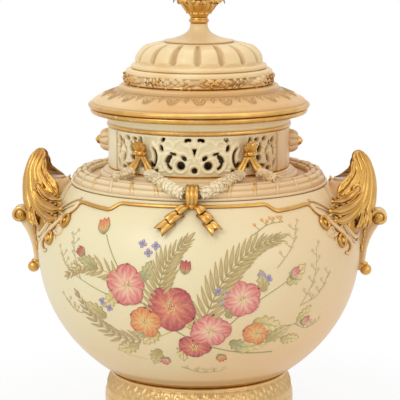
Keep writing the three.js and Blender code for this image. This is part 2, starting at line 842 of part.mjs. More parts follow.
// The volute behind the leaf and the bracket under it, cut from one outline in the handle's plane
function makeBracket() {
  const voluteX = handleReach + voluteRadius * 0.5;
  const voluteZ = handleBottom + voluteRadius;
  const volute = new THREE.CylinderGeometry(voluteRadius, voluteRadius, voluteWidth, 12);
  const inside = bowlRadius - bracketRoot;
  const ballX = bowlRadius + bracketDepth * 0.8;
  const bracketBottom = ballHeight - ballRadius * 0.4;
  const bracketTop = ballHeight + ballRadius * 4;
  const outline = new THREE.Shape();
  outline.moveTo(handleReach - bracketDepth * 1.6, voluteZ + bracketDepth);
  outline.lineTo(handleReach + 0.5, voluteZ + voluteRadius * 1.3);
  outline.lineTo(handleReach + voluteRadius * 0.6, voluteZ);
  outline.quadraticCurveTo(handleReach - 2, handleBottom - 6, bowlRadius + bracketDepth, bracketTop);
  outline.lineTo(ballX, bracketBottom);
  outline.lineTo(inside, bracketBottom);
  outline.lineTo(inside, handleBottom);
  const settings = { depth: bracketWidth, bevelEnabled: false, curveSegments: 3 };
  const web = new THREE.ExtrudeGeometry(outline, settings);
  web.translate(0, 0, -bracketWidth / 2).rotateX(Math.PI / 2);
  const ball = new THREE.SphereGeometry(ballRadius, 8, 6);
  ball.translate(ballX, 0, ballHeight);
  return toSolid(volute.translate(voluteX, 0, voluteZ)).add(toSolid(web)).add(toSolid(ball));
}

function makeHandle(side) {
  const whole = toGeometry(makeLeaf().add(makeBracket()).subtract(seat));
  return side > 0 ? whole : whole.rotateZ(Math.PI);
}

// Cover: a broad flange, open underneath, and the bezel under it that drops inside the rim
const bezelRadius = neckRadius - lidClearance;
const bezelInner = bezelRadius - bezelWall;
const bezelTopOuter = coverBase + flangeRise * 0.46;
const bezelTopInner = flangeTop - coverWall * 1.6;

function makeCoverFlange() {
  const seatRadius = rimRadius - rimWall;
  const eye = domeRadius - domeWall;
  return turned([
    [coverRadius - coverOverhang, coverBase],
    [coverRadius, coverBase + coverEdge],
    [coverRadius - flangeWidth * 0.11, coverBase + flangeRise * 0.36],
    [coverRadius - flangeWidth * 0.51, coverBase + flangeRise * 0.66],
    [garlandRingRadius - coverOverhang, flangeTop],
    [eye, flangeTop],
    [eye, flangeTop - coverWall],
    [bezelInner, bezelTopInner],
    [bezelRadius, bezelTopOuter],
    [seatRadius - coverOverhang, coverBase + flangeRise * 0.2],
    [seatRadius, coverBase],
  ]);
}

function makeCoverBezel() {
  return turned([
    [bezelRadius, coverBase - bezelDepth],
    [bezelRadius, bezelTopOuter - seam],
    [bezelInner, bezelTopInner - seam],
    [bezelInner, coverBase - bezelDepth],
  ]);
}

function makeGarlandRing() {
  const inner = domeRadius - domeWall;
  return turned([
    [garlandRingRadius - ringMoulding, garlandRingBase],
    [garlandRingRadius, garlandRingBase + garlandRingHeight * 0.3],
    [garlandRingRadius - seam, garlandRingBase + garlandRingHeight * 0.66],
    [garlandRingRadius - garlandRingWidth / 2, garlandRingBase + garlandRingHeight],
    [inner, garlandRingBase + garlandRingHeight],
    [inner, garlandRingBase],
  ]);
}

// Dome: grooves between the gadroons run up the curve and die out at the top line
function makeDome() {
  const rings = [];
  const positions = gadroonCount * 3;
  const steps = 4;
  const low = domeBase + domeBaseHeight;
  const top = domeBase + domeHeight;
  const curve = [];
  for (let i = 0; i <= steps; i += 1) {
    const turn = (Math.PI / 2) * (i / steps);
    const radius = domeTopRadius + (domeRadius - domeTopRadius) * Math.cos(turn);
    curve.push([radius, low + (top - low) * Math.sin(turn)]);
  }
  for (let j = 0; j < positions; j += 1) {
    const angle = (360 * j) / positions;
    const groove = j % 3 === 0 ? gadroonDepth : 0;
    const ring = [
      [domeRadius + domeMoulding, domeBase],
      [domeRadius + domeMoulding * 0.6, domeBase + domeBaseHeight * 0.4],
    ];
    curve.forEach(([r, z], i) => {
      const depth = groove * (i === 0 || i === steps ? 0.2 : 1);
      ring.push([r - depth, z - depth * 0.5 * (i / steps)]);
    });
    ring.push([domeTopRadius - domeWall, top]);
    ring.push([domeTopRadius - domeWall, top - domeWall]);
    ring.push([domeRadius - domeWall - 2, low]);
    ring.push([domeRadius - domeWall, domeBase]);
    rings.push(ring.map(([r, z]) => polar(angle, r, z)));
  }
  return lofted(rings, true);
}

// Spire: a short concave cone between the dome and the finial, over a small fillet
function makeSpire() {
  const run = domeTopRadius - spireInset - spireTopRadius;
  const steps = 5;
  const profile = [[0, spireBase], [spireTopRadius + run, spireBase]];
  for (let i = 0; i <= steps; i += 1) {
    const share = i / steps;
    const radius = spireTopRadius + run * (1 - share) ** 2.6;
    profile.push([radius, spireBase + mix(spireFillet, spireHeight, share ** 1.15)]);
  }
  profile.push([0, spireBase + spireHeight]);
  return turnedSolid(profile, 20);
}

function makeFinialRing() {
  return turnedSolid([
    [0, finialBase],
    [spireTopRadius, finialBase],
    [finialRingRadius, finialBase + finialRingHeight * 0.4],
    [finialRingRadius, finialBase + finialRingHeight * 0.65],
    [spireTopRadius, finialBase + finialRingHeight],
    [0, finialBase + finialRingHeight],
  ], smallSteps);
}

// Calyx: a cup of leaves whose tips curl outwards
function makeCalyx() {
  let solid = toSolid(turnedSolid([
    [0, calyxBase],
    [spireTopRadius, calyxBase],
    [mix(spireTopRadius, calyxRadius, 0.2), calyxBase + calyxHeight * 0.2],
    [mix(spireTopRadius, calyxRadius, 0.8), calyxBase + calyxHeight * 0.55],
    [calyxRadius, calyxBase + calyxHeight * 0.9],
    [calyxRadius * 0.88, calyxBase + calyxHeight],
    [0, calyxBase + calyxHeight],
  ], smallSteps));
  for (let leaf = 0; leaf < finialLeafCount; leaf += 1) {
    const angle = ((leaf + 0.5) * 360) / finialLeafCount;
    const path = [
      polar(angle, calyxRadius * 0.62, calyxBase + calyxHeight * 0.45),
      polar(angle, calyxRadius * 0.91, calyxBase + calyxHeight * 0.8),
      polar(angle, leafTipRadius * 0.9, calyxBase + calyxHeight * 1.02),
      polar(angle, leafTipRadius, calyxBase + calyxHeight * 0.86),
    ];
    const taper = (share) => 1 - 0.7 * share;
    solid = solid.add(toSolid(surfaceBar(path, finialLeafWidth, finialLeafThickness, taper)));
  }
  return toGeometry(solid);
}

// Bud: its section is a sine arch that starts below the calyx's edge and closes at the tip
function makeBud() {
  const steps = 6;
  const cutOff = 0.22;
  const profile = [[0, budBase]];
  for (let i = 0; i < steps; i += 1) {
    const share = i / steps;
    const turn = Math.PI * mix(cutOff, 1, share);
    profile.push([budRadius * Math.sin(turn) ** 0.9, budBase + budHeight * share]);
  }
  profile.push([0, budBase + budHeight]);
  return turnedSolid(profile, smallSteps);
}

// Inner lid: lies on the shoulder's ledge under the collar, with a knob that clears the cover
function makeInnerLid() {
  const base = collarBase - innerLidThickness + seam;
  const edge = neckRadius - lidClearance;
  return turnedSolid([
    [0, base],
    [edge, base],
    [edge, base + innerLidThickness - 1],
    [edge - 4, base + innerLidThickness],
    [edge * 0.45, base + innerLidThickness + innerLidCrown * 0.8],
    [innerKnobRadius * 0.7, base + innerLidThickness + innerLidCrown],
    [0, base + innerLidThickness + innerLidCrown],
  ]);
}

function makeInnerKnob() {
  const base = collarBase + innerLidCrown + 2 * seam;
  return turnedSolid([
    [0, base],
    [innerKnobRadius * 0.6, base],
    [innerKnobRadius * 0.45, base + innerKnobHeight * 0.35],
    [innerKnobRadius, base + innerKnobHeight * 0.6],
    [innerKnobRadius * 0.8, base + innerKnobHeight * 0.9],
    [0, base + innerKnobHeight],
  ], smallSteps);
}

addPiece('foot_ring', makeFoot(), gilding);
addPiece('bowl', makeBowl(), ivory);
addPiece('shoulder', makeShoulder(), blush);
addPiece('reeded_band', makeReededBand(), ivory);
addPiece('collar', makeCollar(), ivory);
addPiece('rim', makeRim(), ivory);

for (const [face, turn] of [['front', 0], ['back', 180]]) {
  addPiece(`panel_frame_${face}`, makePanelFrame(turn), gilding);
  addPiece(`ribbon_strap_${face}`, makeRibbonStrap(turn), gilding);
  for (const [hand, mirror] of [['left', -1], ['right', 1]]) {
    addPiece(`frame_scroll_${face}_${hand}`, makeFrameScroll(turn, mirror), gilding);
    addPiece(`bow_${face}_${hand}`, makeBow(turn, mirror), gilding);
    addPiece(`festoon_${face}_${hand}`, makeFestoon(turn, mirror), ivory);
    addPiece(`garland_drop_${face}_${hand}`, makeDrop(turn, mirror), ivory);
    addPiece(`ribbon_tail_${face}_${hand}`, makeRibbonTail(turn, mirror), gilding);
  }
}

for (const [hand, side] of [['left', -1], ['right', 1]]) {
  addPiece(`side_boss_${hand}`, makeBoss(side), blush);
  addPiece(`handle_${hand}`, makeHandle(side), gilding);
}

addPiece('inner_lid', makeInnerLid(), ivory);
addPiece('inner_lid_knob', makeInnerKnob(), gilding);
addPiece('cover_flange', makeCoverFlange(), ivory);
addPiece('cover_bezel', makeCoverBezel(), ivory);
addPiece('cover_garland_ring', makeGarlandRing(), blush);
addPiece('cover_dome', makeDome(), ivory);
addPiece('cover_spire', makeSpire(), blush);
addPiece('finial_ring', makeFinialRing(), gilding);
addPiece('finial_calyx', makeCalyx(), gilding);
addPiece('finial_bud', makeBud(), gilding);

export default urn;
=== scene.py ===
from math import atan2, ceil, cos, degrees, hypot, pi, radians, sin, sqrt
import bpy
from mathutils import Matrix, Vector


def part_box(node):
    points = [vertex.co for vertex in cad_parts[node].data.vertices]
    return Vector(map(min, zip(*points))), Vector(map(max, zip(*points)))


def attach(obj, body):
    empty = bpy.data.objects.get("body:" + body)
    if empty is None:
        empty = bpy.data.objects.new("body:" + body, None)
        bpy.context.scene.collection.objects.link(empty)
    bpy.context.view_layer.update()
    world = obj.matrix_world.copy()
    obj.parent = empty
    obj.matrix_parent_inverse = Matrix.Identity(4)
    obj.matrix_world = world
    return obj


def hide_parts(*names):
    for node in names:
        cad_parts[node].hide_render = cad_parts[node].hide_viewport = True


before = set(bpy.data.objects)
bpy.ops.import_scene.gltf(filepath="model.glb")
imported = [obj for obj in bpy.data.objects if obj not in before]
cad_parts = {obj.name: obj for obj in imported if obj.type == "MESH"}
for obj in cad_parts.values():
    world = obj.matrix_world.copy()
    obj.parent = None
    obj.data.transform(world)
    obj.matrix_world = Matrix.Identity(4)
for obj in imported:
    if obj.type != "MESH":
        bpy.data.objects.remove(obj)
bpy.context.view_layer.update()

from types import SimpleNamespace

import bmesh
import bpy
import numpy as np
from mathutils import Vector

mm = 0.001  # shapes are worked out in millimetres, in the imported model's own place
dice = np.random.default_rng(11)
handSides = {"right": 1, "left": -1}
urnFaces = {"front": 0, "back": 180}  # and the angle that each looks to, in degrees round from the front
quarters = [(f"{face}_{hand}", turn, mirror) for face, turn in urnFaces.items() for hand, mirror in handSides.items()]


def newObject(name, data):
    thing = bpy.data.objects.new(name, data)
    bpy.context.scene.collection.objects.link(thing)
    return thing


# Sets a camera or a lamp down, looking in a direction
def setDown(thing, place, direction):
    thing.location = place
    thing.rotation_mode = "QUATERNION"
    thing.rotation_quaternion = direction.to_track_quat("-Z", "Y")


# Camera, at the photograph's angle
cameraView = {
    "distance": 1430,
    "lens": 174,
    "sensor": 36,
    "azimuth": 2.8,
    "pitch": 9.5,
    "aimHeight": 159,
    "aimAside": 0.75,
}


def makeCamera():
    turn, pitch = radians(cameraView["azimuth"]), radians(cameraView["pitch"])
    back = Vector((sin(turn) * cos(pitch), -cos(turn) * cos(pitch), sin(pitch)))
    aside = Vector((cos(turn), sin(turn), 0)) * cameraView["aimAside"]
    aim = Vector((0, 0, cameraView["aimHeight"])) + aside
    data = bpy.data.cameras.new("photoCamera")
    data.lens = cameraView["lens"]
    data.sensor_width = cameraView["sensor"]
    camera = newObject("photoCamera", data)
    setDown(camera, (aim + back * cameraView["distance"]) * mm, -back)
    bpy.context.scene.camera = camera


makeCamera()
print("camera placed")


# Small helpers for shader trees. An input is given a fixed value, or another node's output to follow
def feed(tree, node, inputs):
    for name, value in inputs.items():
        if isinstance(value, bpy.types.NodeSocket):
            tree.links.new(value, node.inputs[name])
        else:
            node.inputs[name].default_value = value


def addNode(tree, kind, inputs, **settings):
    node = tree.nodes.new(kind)
    for name, value in settings.items():
        setattr(node, name, value)
    feed(tree, node, inputs)
    return node.outputs


def objectPlace(tree):
    return addNode(tree, "ShaderNodeTexCoord", {})["Object"]


def readMark(tree, name, output="Fac"):
    return addNode(tree, "ShaderNodeAttribute", {}, attribute_name=name)[output]


def mixColour(tree, factor, first, second):
    return addNode(tree, "ShaderNodeMix", {0: factor, 6: first, 7: second}, data_type="RGBA")[2]


def calculate(tree, operation, first, second):
    return addNode(tree, "ShaderNodeMath", {0: first, 1: second}, operation=operation)[0]


def spread(tree, value, low, high, newLow=0, newHigh=1):
    inputs = {"Value": value, "From Min": low, "From Max": high, "To Min": newLow, "To Max": newHigh}
    return addNode(tree, "ShaderNodeMapRange", inputs)[0]


def noise(tree, place, scale, detail=3, rough=0.5):
    inputs = {"Vector": place, "Scale": scale, "Detail": detail, "Roughness": rough}
    return addNode(tree, "ShaderNodeTexNoise", inputs)[0]


def bump(tree, height, strength, distance):
    inputs = {"Height": height, "Strength": strength, "Distance": distance}
    return addNode(tree, "ShaderNodeBump", inputs)[0]


def newMaterial(name):
    material = bpy.data.materials.new(name)
    material.use_nodes = True
    return material, material.node_tree, material.node_tree.nodes["Principled BSDF"]


def newGroup(name, inputs, outputs):
    group = bpy.data.node_groups.new(name, "ShaderNodeTree")
    for way, labels in (("INPUT", inputs), ("OUTPUT", outputs)):
        for label in labels:
            kind = "NodeSocketColor" if label == "Tone" else "NodeSocketFloat"
            group.interface.new_socket(label, in_out=way, socket_type=kind)
    return group, group.nodes.new("NodeGroupInput").outputs, group.nodes.new("NodeGroupOutput")


glazeMix = {
    "speckScale": 900,
    "speckFrom": 0.71,
    "speckFull": 0.78,
    "grainScale": 1500,
}


# The porcelain's own unevenness: broad clouds of tint, iron specks and a fine eggshell grain
def makeGlazeGroup():
    group, given, result = newGroup("eggshellGlaze", ["Cloud Scale"], ["Cloud", "Speck", "Grain"])
    place = objectPlace(group)
    specks = noise(group, place, glazeMix["speckScale"], 1)
    feed(group, result, {
        "Cloud": spread(group, noise(group, place, given["Cloud Scale"], 2), 0.3, 0.7),
        "Speck": spread(group, specks, glazeMix["speckFrom"], glazeMix["speckFull"]),
        "Grain": noise(group, place, glazeMix["grainScale"], 2),
    })
    return group


gildingMix = {
    "thin": (0.58, 0.31, 0.072, 1),
    "full": (0.73, 0.435, 0.125, 1),
    # painted shade: the dark brown that gilding turns to in hollows, grooves and gaps
    "recess": (0.30, 0.135, 0.025, 1),
    "patchScale": 260,
    "toneScale": 60,
    "shineScale": 420,
    "brushScale": 700,
}


# Gilding that is thin in places: a worn cover, an uneven tone, and brush marks in its height; its tone turns dark
# brown as painted shade where the mesh marks shade
def makeGildingGroup():
    group, given, result = newGroup(
        "rubbedGilding", ["Cover", "Wear", "Recess"], ["Cover", "Tone", "Roughness", "Height"])
    place = objectPlace(group)
    patch = spread(group, noise(group, place, gildingMix["patchScale"], 4, 0.6), 0.56, 0.74)
    worn = calculate(group, "MULTIPLY", patch, given["Wear"])
    broad = spread(group, noise(group, place, gildingMix["toneScale"]), 0.3, 0.7)
    tone = mixColour(group, broad, gildingMix["thin"], gildingMix["full"])
    feed(group, result, {
        "Cover": calculate(group, "MULTIPLY", given["Cover"], calculate(group, "SUBTRACT", 1, worn)),
        "Tone": mixColour(group, given["Recess"], tone, gildingMix["recess"]),
        "Roughness": spread(group, noise(group, place, gildingMix["shineScale"], 2), 0.3, 0.7, 0.28, 0.42),
        "Height": noise(group, place, gildingMix["brushScale"]),
    })
    return group


glazeGroup = makeGlazeGroup()
gildingGroup = makeGildingGroup()
porcelainLook = {
    "ivory": (0.82, 0.745, 0.475, 1),
    "blush": (0.79, 0.52, 0.26, 1),
    # painted shade: the brown that hollows, grooves and gaps are darkened towards; the same mark also draws brown
    # lines
    "recessTint": (0.36, 0.19, 0.06, 1),
    "speckColour": (0.35, 0.2, 0.1, 1),
    # how far the mark of brown lines and painted shade darkens the colour
    "tint": 0.8,
    "cloudScale": 14,
    "cloudAmount": 0.18,
    "drift": 0.75,  # painted shading: how much more of the darker, warmer blush colour is laid on towards the urn's right side
    "driftFrom": -0.02,  # metres right of the urn's axis
    "driftTo": 0.12,
    "specks": 0.35,
    "wear": 0.5,
    "roughness": 0.42,
    "coat": 0.1,
    "coatRoughness": 0.22,
    "grain": 0.12,
    "grainHeight": 0.0002,
}
gildingLook = {
    "cover": 1,
    "wear": 0.35,
    "under": (0.55, 0.33, 0.12, 1),
    "bare": (0.84, 0.62, 0.38, 1),
    "bareAmount": 0.95,
    "brush": 0.25,
    "brushHeight": 0.0003,
}


# Satin porcelain, washed from ivory to blush, with gilding where the mesh is marked as gilt, and darkened towards a
# brown where the mesh is marked with brown lines and painted shade in hollows, grooves and gaps
def makePorcelain(name, slot, **changes):
    look = dict(porcelainLook, **changes)
    material, tree, shader = newMaterial(name)
    recess = readMark(tree, "recess")
    glaze = addNode(tree, "ShaderNodeGroup", {"Cloud Scale": look["cloudScale"]}, node_tree=glazeGroup)
    gold = addNode(tree, "ShaderNodeGroup", {
        "Cover": readMark(tree, "gilt"), "Wear": look["wear"], "Recess": recess}, node_tree=gildingGroup)
    across = addNode(tree, "ShaderNodeSeparateXYZ", {0: objectPlace(tree)})["X"]
    # painted shading: more blush colour towards the urn's right side
    rightSideShade = spread(tree, across, look["driftFrom"], look["driftTo"], 0, look["drift"])
    clouds = calculate(tree, "MULTIPLY", glaze["Cloud"], look["cloudAmount"])
    blush = calculate(tree, "ADD", calculate(tree, "ADD", clouds, rightSideShade), readMark(tree, "blush"))
    body = mixColour(tree, spread(tree, blush, 0, 1), look["ivory"], look["blush"])
    body = mixColour(tree, calculate(tree, "MULTIPLY", glaze["Speck"], look["specks"]), body, look["speckColour"])
    body = mixColour(tree, calculate(tree, "MULTIPLY", recess, look["tint"]), body, look["recessTint"])
    rough = {0: gold["Cover"], 2: look["roughness"], 3: gold["Roughness"]}
    feed(tree, shader, {
        "Base Color": mixColour(tree, gold["Cover"], body, gold["Tone"]),
        "Metallic": gold["Cover"],
        "Roughness": addNode(tree, "ShaderNodeMix", rough)[0],
        "Coat Weight": look["coat"],
        "Coat Roughness": look["coatRoughness"],
        "Normal": bump(tree, glaze["Grain"], look["grain"], look["grainHeight"]),
    })
    return material, slot


def makeGilding(name, **changes):
    look = dict(gildingLook, **changes)
    material, tree, shader = newMaterial(name)
    # the gold darkens towards brown as painted shade where the mesh marks shade
    gold = addNode(tree, "ShaderNodeGroup", {
        "Cover": look["cover"], "Wear": look["wear"], "Recess": readMark(tree, "recess")}, node_tree=gildingGroup)
    ivoryShows = calculate(tree, "MULTIPLY", readMark(tree, "bare"), look["bareAmount"])
    tone = mixColour(tree, gold["Cover"], look["under"], gold["Tone"])
    covered = calculate(tree, "SUBTRACT", 1, ivoryShows)
    feed(tree, shader, {
        "Base Color": mixColour(tree, ivoryShows, tone, look["bare"]),
        "Metallic": calculate(tree, "MULTIPLY", gold["Cover"], covered),
        "Roughness": gold["Roughness"],
        "Normal": bump(tree, gold["Height"], look["brush"], look["brushHeight"]),
    })
    return material, "satin_gilding"


enamelLook = {
    "mottleColour": (0.86, 0.72, 0.5, 1),
    "mottleScale": 700,
    "mottle": 0.14,
    "smoothest": 0.34,
    "roughest": 0.5,
    "grain": 0.15,
    "grainHeight": 0.0002,
}


# Painted enamel: its colours are brushed on vertex by vertex, and mottled here
def makeEnamel():
    material, tree, shader = newMaterial("paintedEnamel")
    place = objectPlace(tree)
    mottle = spread(tree, noise(tree, place, enamelLook["mottleScale"]), 0.3, 0.7, 0, enamelLook["mottle"])
    shine = noise(tree, place, 500, 2)
    feed(tree, shader, {
        "Base Color": mixColour(tree, mottle, readMark(tree, "paint", "Color"), enamelLook["mottleColour"]),
        "Roughness": spread(tree, shine, 0.3, 0.7, enamelLook["smoothest"], enamelLook["roughest"]),
        "Normal": bump(tree, noise(tree, place, 1100), enamelLook["grain"], enamelLook["grainHeight"]),
    })
    return material, "ivory_porcelain"


# Finishes: a material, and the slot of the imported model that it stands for
bodyIvory = makePorcelain("ivoryPorcelain", "ivory_porcelain")
paleIvory = makePorcelain(
    "palePorcelain", "ivory_porcelain", ivory=(0.93, 0.86, 0.58, 1), recessTint=(0.45, 0.27, 0.09, 1),
    cloudAmount=0.2, drift=0.9)
warmBlush = makePorcelain(
    "blushPorcelain", "blush_porcelain", ivory=(0.83, 0.68, 0.41, 1), cloudAmount=0.3, drift=0.8)
coverIvory = makePorcelain(
    "coverPorcelain", "ivory_porcelain", ivory=(0.88, 0.71, 0.40, 1), blush=(0.70, 0.40, 0.14, 1),
    recessTint=(0.37, 0.19, 0.05, 1), cloudScale=26, cloudAmount=0.45, drift=0.5)
coverBlush = (coverIvory[0], "blush_porcelain")
garlandIvory = makePorcelain(
    "garlandPorcelain", "ivory_porcelain", ivory=(0.92, 0.84, 0.59, 1), recessTint=(0.62, 0.42, 0.18, 1),
    tint=0.55, cloudScale=60, cloudAmount=0.4, drift=0.9)
gilding = makeGilding("satinGilding")
footGilding = makeGilding("rubbedFootGilding", cover=0.62, wear=0.8, under=(0.82, 0.63, 0.33, 1))
enamel = makeEnamel()
print("finishes mixed")


# Curves and humps that the shapes below share
def clamp(x):
    return np.clip(x, 0, 1)


def shares(count):
    return np.linspace(0, 1, count)


def fullTurn(count):
    return np.linspace(0, 2 * pi, count, endpoint=False)


def hump(x):
    return np.clip(1 - np.square(x), 0, None) ** 2


def ramp(x, low, high):
    share = clamp((np.asarray(x, float) - low) / (high - low))
    return share * share * (3 - 2 * share)


def band(x, low, high, soft):
    return ramp(x, low - soft, low + soft) * (1 - ramp(x, high - soft, high + soft))


def wrapped(angle, period=360):
    return (angle + period / 2) % period - period / 2


def unit(vectors):
    return vectors / np.maximum(np.linalg.norm(vectors, axis=-1, keepdims=True), 1e-9)


def polar(angle, radius, height):
    turn, radius, height = np.broadcast_arrays(np.radians(angle), radius, height)
    return np.stack([radius * np.sin(turn), -radius * np.cos(turn), height], -1)


# The bottom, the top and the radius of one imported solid
def nodeSize(name):
    low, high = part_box(name)
    return low[2] / mm, high[2] / mm, high[0] / mm


# A section from corner to corner: (radius, height), or with a third number, how far that stretch swells outwards
def section(corners, spacing=0.55, softness=2, joined=True):
    path = [np.array(corners[0][:2], float)]
    for corner in corners[1:] + ([corners[0][:2]] if joined else []):
        start, end = path[-1], np.array(corner[:2], float)
        swell = corner[2] if len(corner) > 2 else 0
        way = end - start
        length = max(np.linalg.norm(way), 1e-6)
        share = shares(max(2, ceil(length / spacing) + 1))[1:, None]
        outward = np.array([way[1], -way[0]]) / length
        path.extend(start + way * share + outward * swell * 4 * share * (1 - share))
    path = np.array(path[:-1] if joined else path)
    for _ in range(softness):
        if joined:
            path = (np.roll(path, 1, 0) + 2 * path + np.roll(path, -1, 0)) / 4
        else:
            path[1:-1] = (path[:-2] + 2 * path[1:-1] + path[2:]) / 4
    return path


# A soft line through a few points
def smoothPath(points, count):
    points = np.asarray(points, float)
    padded = np.concatenate([[2 * points[0] - points[1]], points, [2 * points[-1] - points[-2]]])
    place = np.linspace(0, len(points) - 1, count)
    index = np.minimum(place.astype(int), len(points) - 2)
    t = (place - index)[:, None]
    a, b, c, d = (padded[index + k] for k in range(4))
    return 0.5 * (2 * b + (c - a) * t + (2 * a - 5 * b + 4 * c - d) * t ** 2 + (3 * b - a - 3 * c + d) * t ** 3)


def heading(path, joined=False):
    return unit(np.roll(path, -1, 0) - np.roll(path, 1, 0) if joined else np.gradient(path, axis=0))


def gridQuads(rows, columns, joined=False):
    i, j = np.meshgrid(np.arange(rows if joined else rows - 1), np.arange(columns), indexing="ij")
    nextRow, nextColumn = (i + 1) % rows, (j + 1) % columns
    corners = [i * columns + j, i * columns + nextColumn, nextRow * columns + nextColumn, nextRow * columns + j]
    return np.stack(corners, -1).reshape(-1, 4)


# A shape from rows of points that close round: its rows join up too, or its two ends may be capped
def gridShape(points, marks, joined=False, capped=True):
    rows, columns = points.shape[:2]
    shape = {"points": points.reshape(-1, 3), "quads": gridQuads(rows, columns, joined), "caps": [], "marks": {}}
    if capped and not joined:
        shape["caps"] = [list(range(columns)), list(range((rows - 1) * columns, rows * columns))[::-1]]
    for name, value in (marks or {}).items():
        depth = np.shape(value)[2:]
        value = clamp(np.broadcast_to(value, (rows, columns) + depth))
        shape["marks"][name] = value.reshape((-1,) + depth)
    return shape


# A turned body. Its relief lifts the surface and its marks say what is gilt and so on; each is a rule of the place,
# which has an angle, a radius and a height, and says how far it faces out and up
def turned(path, count, relief=None, marks=None, joined=True):
    way = heading(path, joined)
    at = SimpleNamespace(
        angle=np.arange(count)[None, :] * 360 / count, radius=path[:, :1], height=path[:, 1:],
        out=way[:, 1:], up=-way[:, :1])
    lift = (relief(at) if relief else 0) + np.zeros((len(path), count))
    points = polar(at.angle, at.radius + at.out * lift, at.height + at.up * lift)
    values = {name: rule(at) if callable(rule) else rule for name, rule in (marks or {}).items()}
    return gridShape(points, values, joined, capped=False)


# A bar of any section drawn along a path; up gives the way that its top faces
def swept(path, up, outline, scale=1, marks=None, joined=False):
    along = heading(path, joined)
    side = unit(np.cross(along, up))
    lift = np.cross(side, along)
    drawn = outline * np.broadcast_to(scale, (len(path),))[:, None, None]
    points = path[:, None, :] + side[:, None, :] * drawn[..., :1] + lift[:, None, :] * drawn[..., 1:]
    return gridShape(points, marks, joined)


def joinShapes(shapes):
    starts = np.cumsum([0] + [len(shape["points"]) for shape in shapes]).tolist()
    blank = lambda shape: np.zeros(len(shape["points"]))
    names = {name for shape in shapes for name in shape["marks"]}
    return {
        "points": np.concatenate([shape["points"] for shape in shapes]),
        "quads": np.concatenate([shape["quads"] + start for shape, start in zip(shapes, starts)]),
        "caps": [[index + start for index in cap] for shape, start in zip(shapes, starts) for cap in shape["caps"]],
        "marks": {
            name: np.concatenate([shape["marks"].get(name, blank(shape)) for shape in shapes]) for name in names},
    }


# Copies of one small shape; each place has an origin and three axes for the shape's x, y and z
def stamped(shape, origins, axes):
    points = np.einsum("pk,mkc->mpc", shape["points"], axes) + np.asarray(origins)[:, None, :]
    return joinShapes([{**shape, "points": each} for each in points])


def moved(shape, *offset):
    return {**shape, "points": shape["points"] + np.array(offset)}


def turnedBack(shape, side):
    return shape if side > 0 else {**shape, "points": shape["points"] * [-1, -1, 1]}


def faceOut(points, quads, caps):
    a, b, c, d = (points[quads[:, k]] for k in range(4))
    volume = np.einsum("ij,ij->", a, np.cross(b, c)) + np.einsum("ij,ij->", a, np.cross(c, d))
    for cap in caps:
        corner = points[cap]
        volume += sum(np.dot(corner[0], np.cross(corner[k], corner[k + 1])) for k in range(1, len(cap) - 1))
    if volume < 0:
        return quads[:, ::-1], [cap[::-1] for cap in caps]
    return quads, caps


# A shape becomes an object that rides on its body and may stand for a node
def addPiece(name, shape, finish, node=None, body="urn", weld=True):
    quads, caps = faceOut(shape["points"], shape["quads"], shape["caps"])
    mesh = bpy.data.meshes.new(name)
    mesh.from_pydata((shape["points"] * mm).tolist(), [], quads.tolist() + caps)
    for mark, values in shape["marks"].items():
        kind, field = ("FLOAT_COLOR", "color") if mark == "paint" else ("FLOAT", "value")
        layer = mesh.attributes.new(mark, kind, "POINT")
        layer.data.foreach_set(field, np.ascontiguousarray(values, np.float32).reshape(-1))
    if weld:
        work = bmesh.new()
        work.from_mesh(mesh)
        bmesh.ops.remove_doubles(work, verts=work.verts, dist=1e-6)
        work.to_mesh(mesh)
        work.free()
    mesh.shade_smooth()
    mesh.materials.append(finish[0])
    piece = newObject(name, mesh)
    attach(piece, body)
    if node:
        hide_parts(node)


# A pointed leaf, 1 long and 1 wide, lying along x with its face towards z
def leafShape(rows=7, columns=7, thick=0.22, midrib=0.06):
    share = shares(rows)[:, None]
    turn = fullTurn(columns * 2)[None, :]
    half = 0.5 * np.sin(pi * np.clip(share, 0.02, 0.985) ** 0.8) ** 0.75
    y = half * np.cos(turn)
    z = np.sin(turn) * thick * (0.35 + 0.65 * np.sin(pi * share * 0.9)) + 0.18 * share * share
    z = z - midrib * hump(y / 0.14) * (np.sin(turn) > 0)
    # painted shade along the midrib and at the leaf's edges
    recess = 0.55 * hump(y / 0.12) + 0.5 * clamp(np.abs(np.cos(turn)) - 0.75) * 4
    return gridShape(np.stack([share + 0 * turn, y, z], -1), {"recess": recess})


def ballShape(radius, rows=8, columns=12, tall=1):
    turn = np.linspace(-pi / 2, pi / 2, rows)
    path = np.stack([np.maximum(radius * np.cos(turn), 0), radius * tall * np.sin(turn)], -1)
    return turned(path, columns, joined=False)


# Foot: a plain band under a slope of small overlapping leaves
foot = {
    "bandHeight": 17.4,
    "topRadius": 63.7,
    "wall": 8,
    "leafCount": 52,
    "leafRows": 3,
    "leafLift": 1,
    "leafLength": 5.6,
    "leafHalfWidth": 2.7,
}


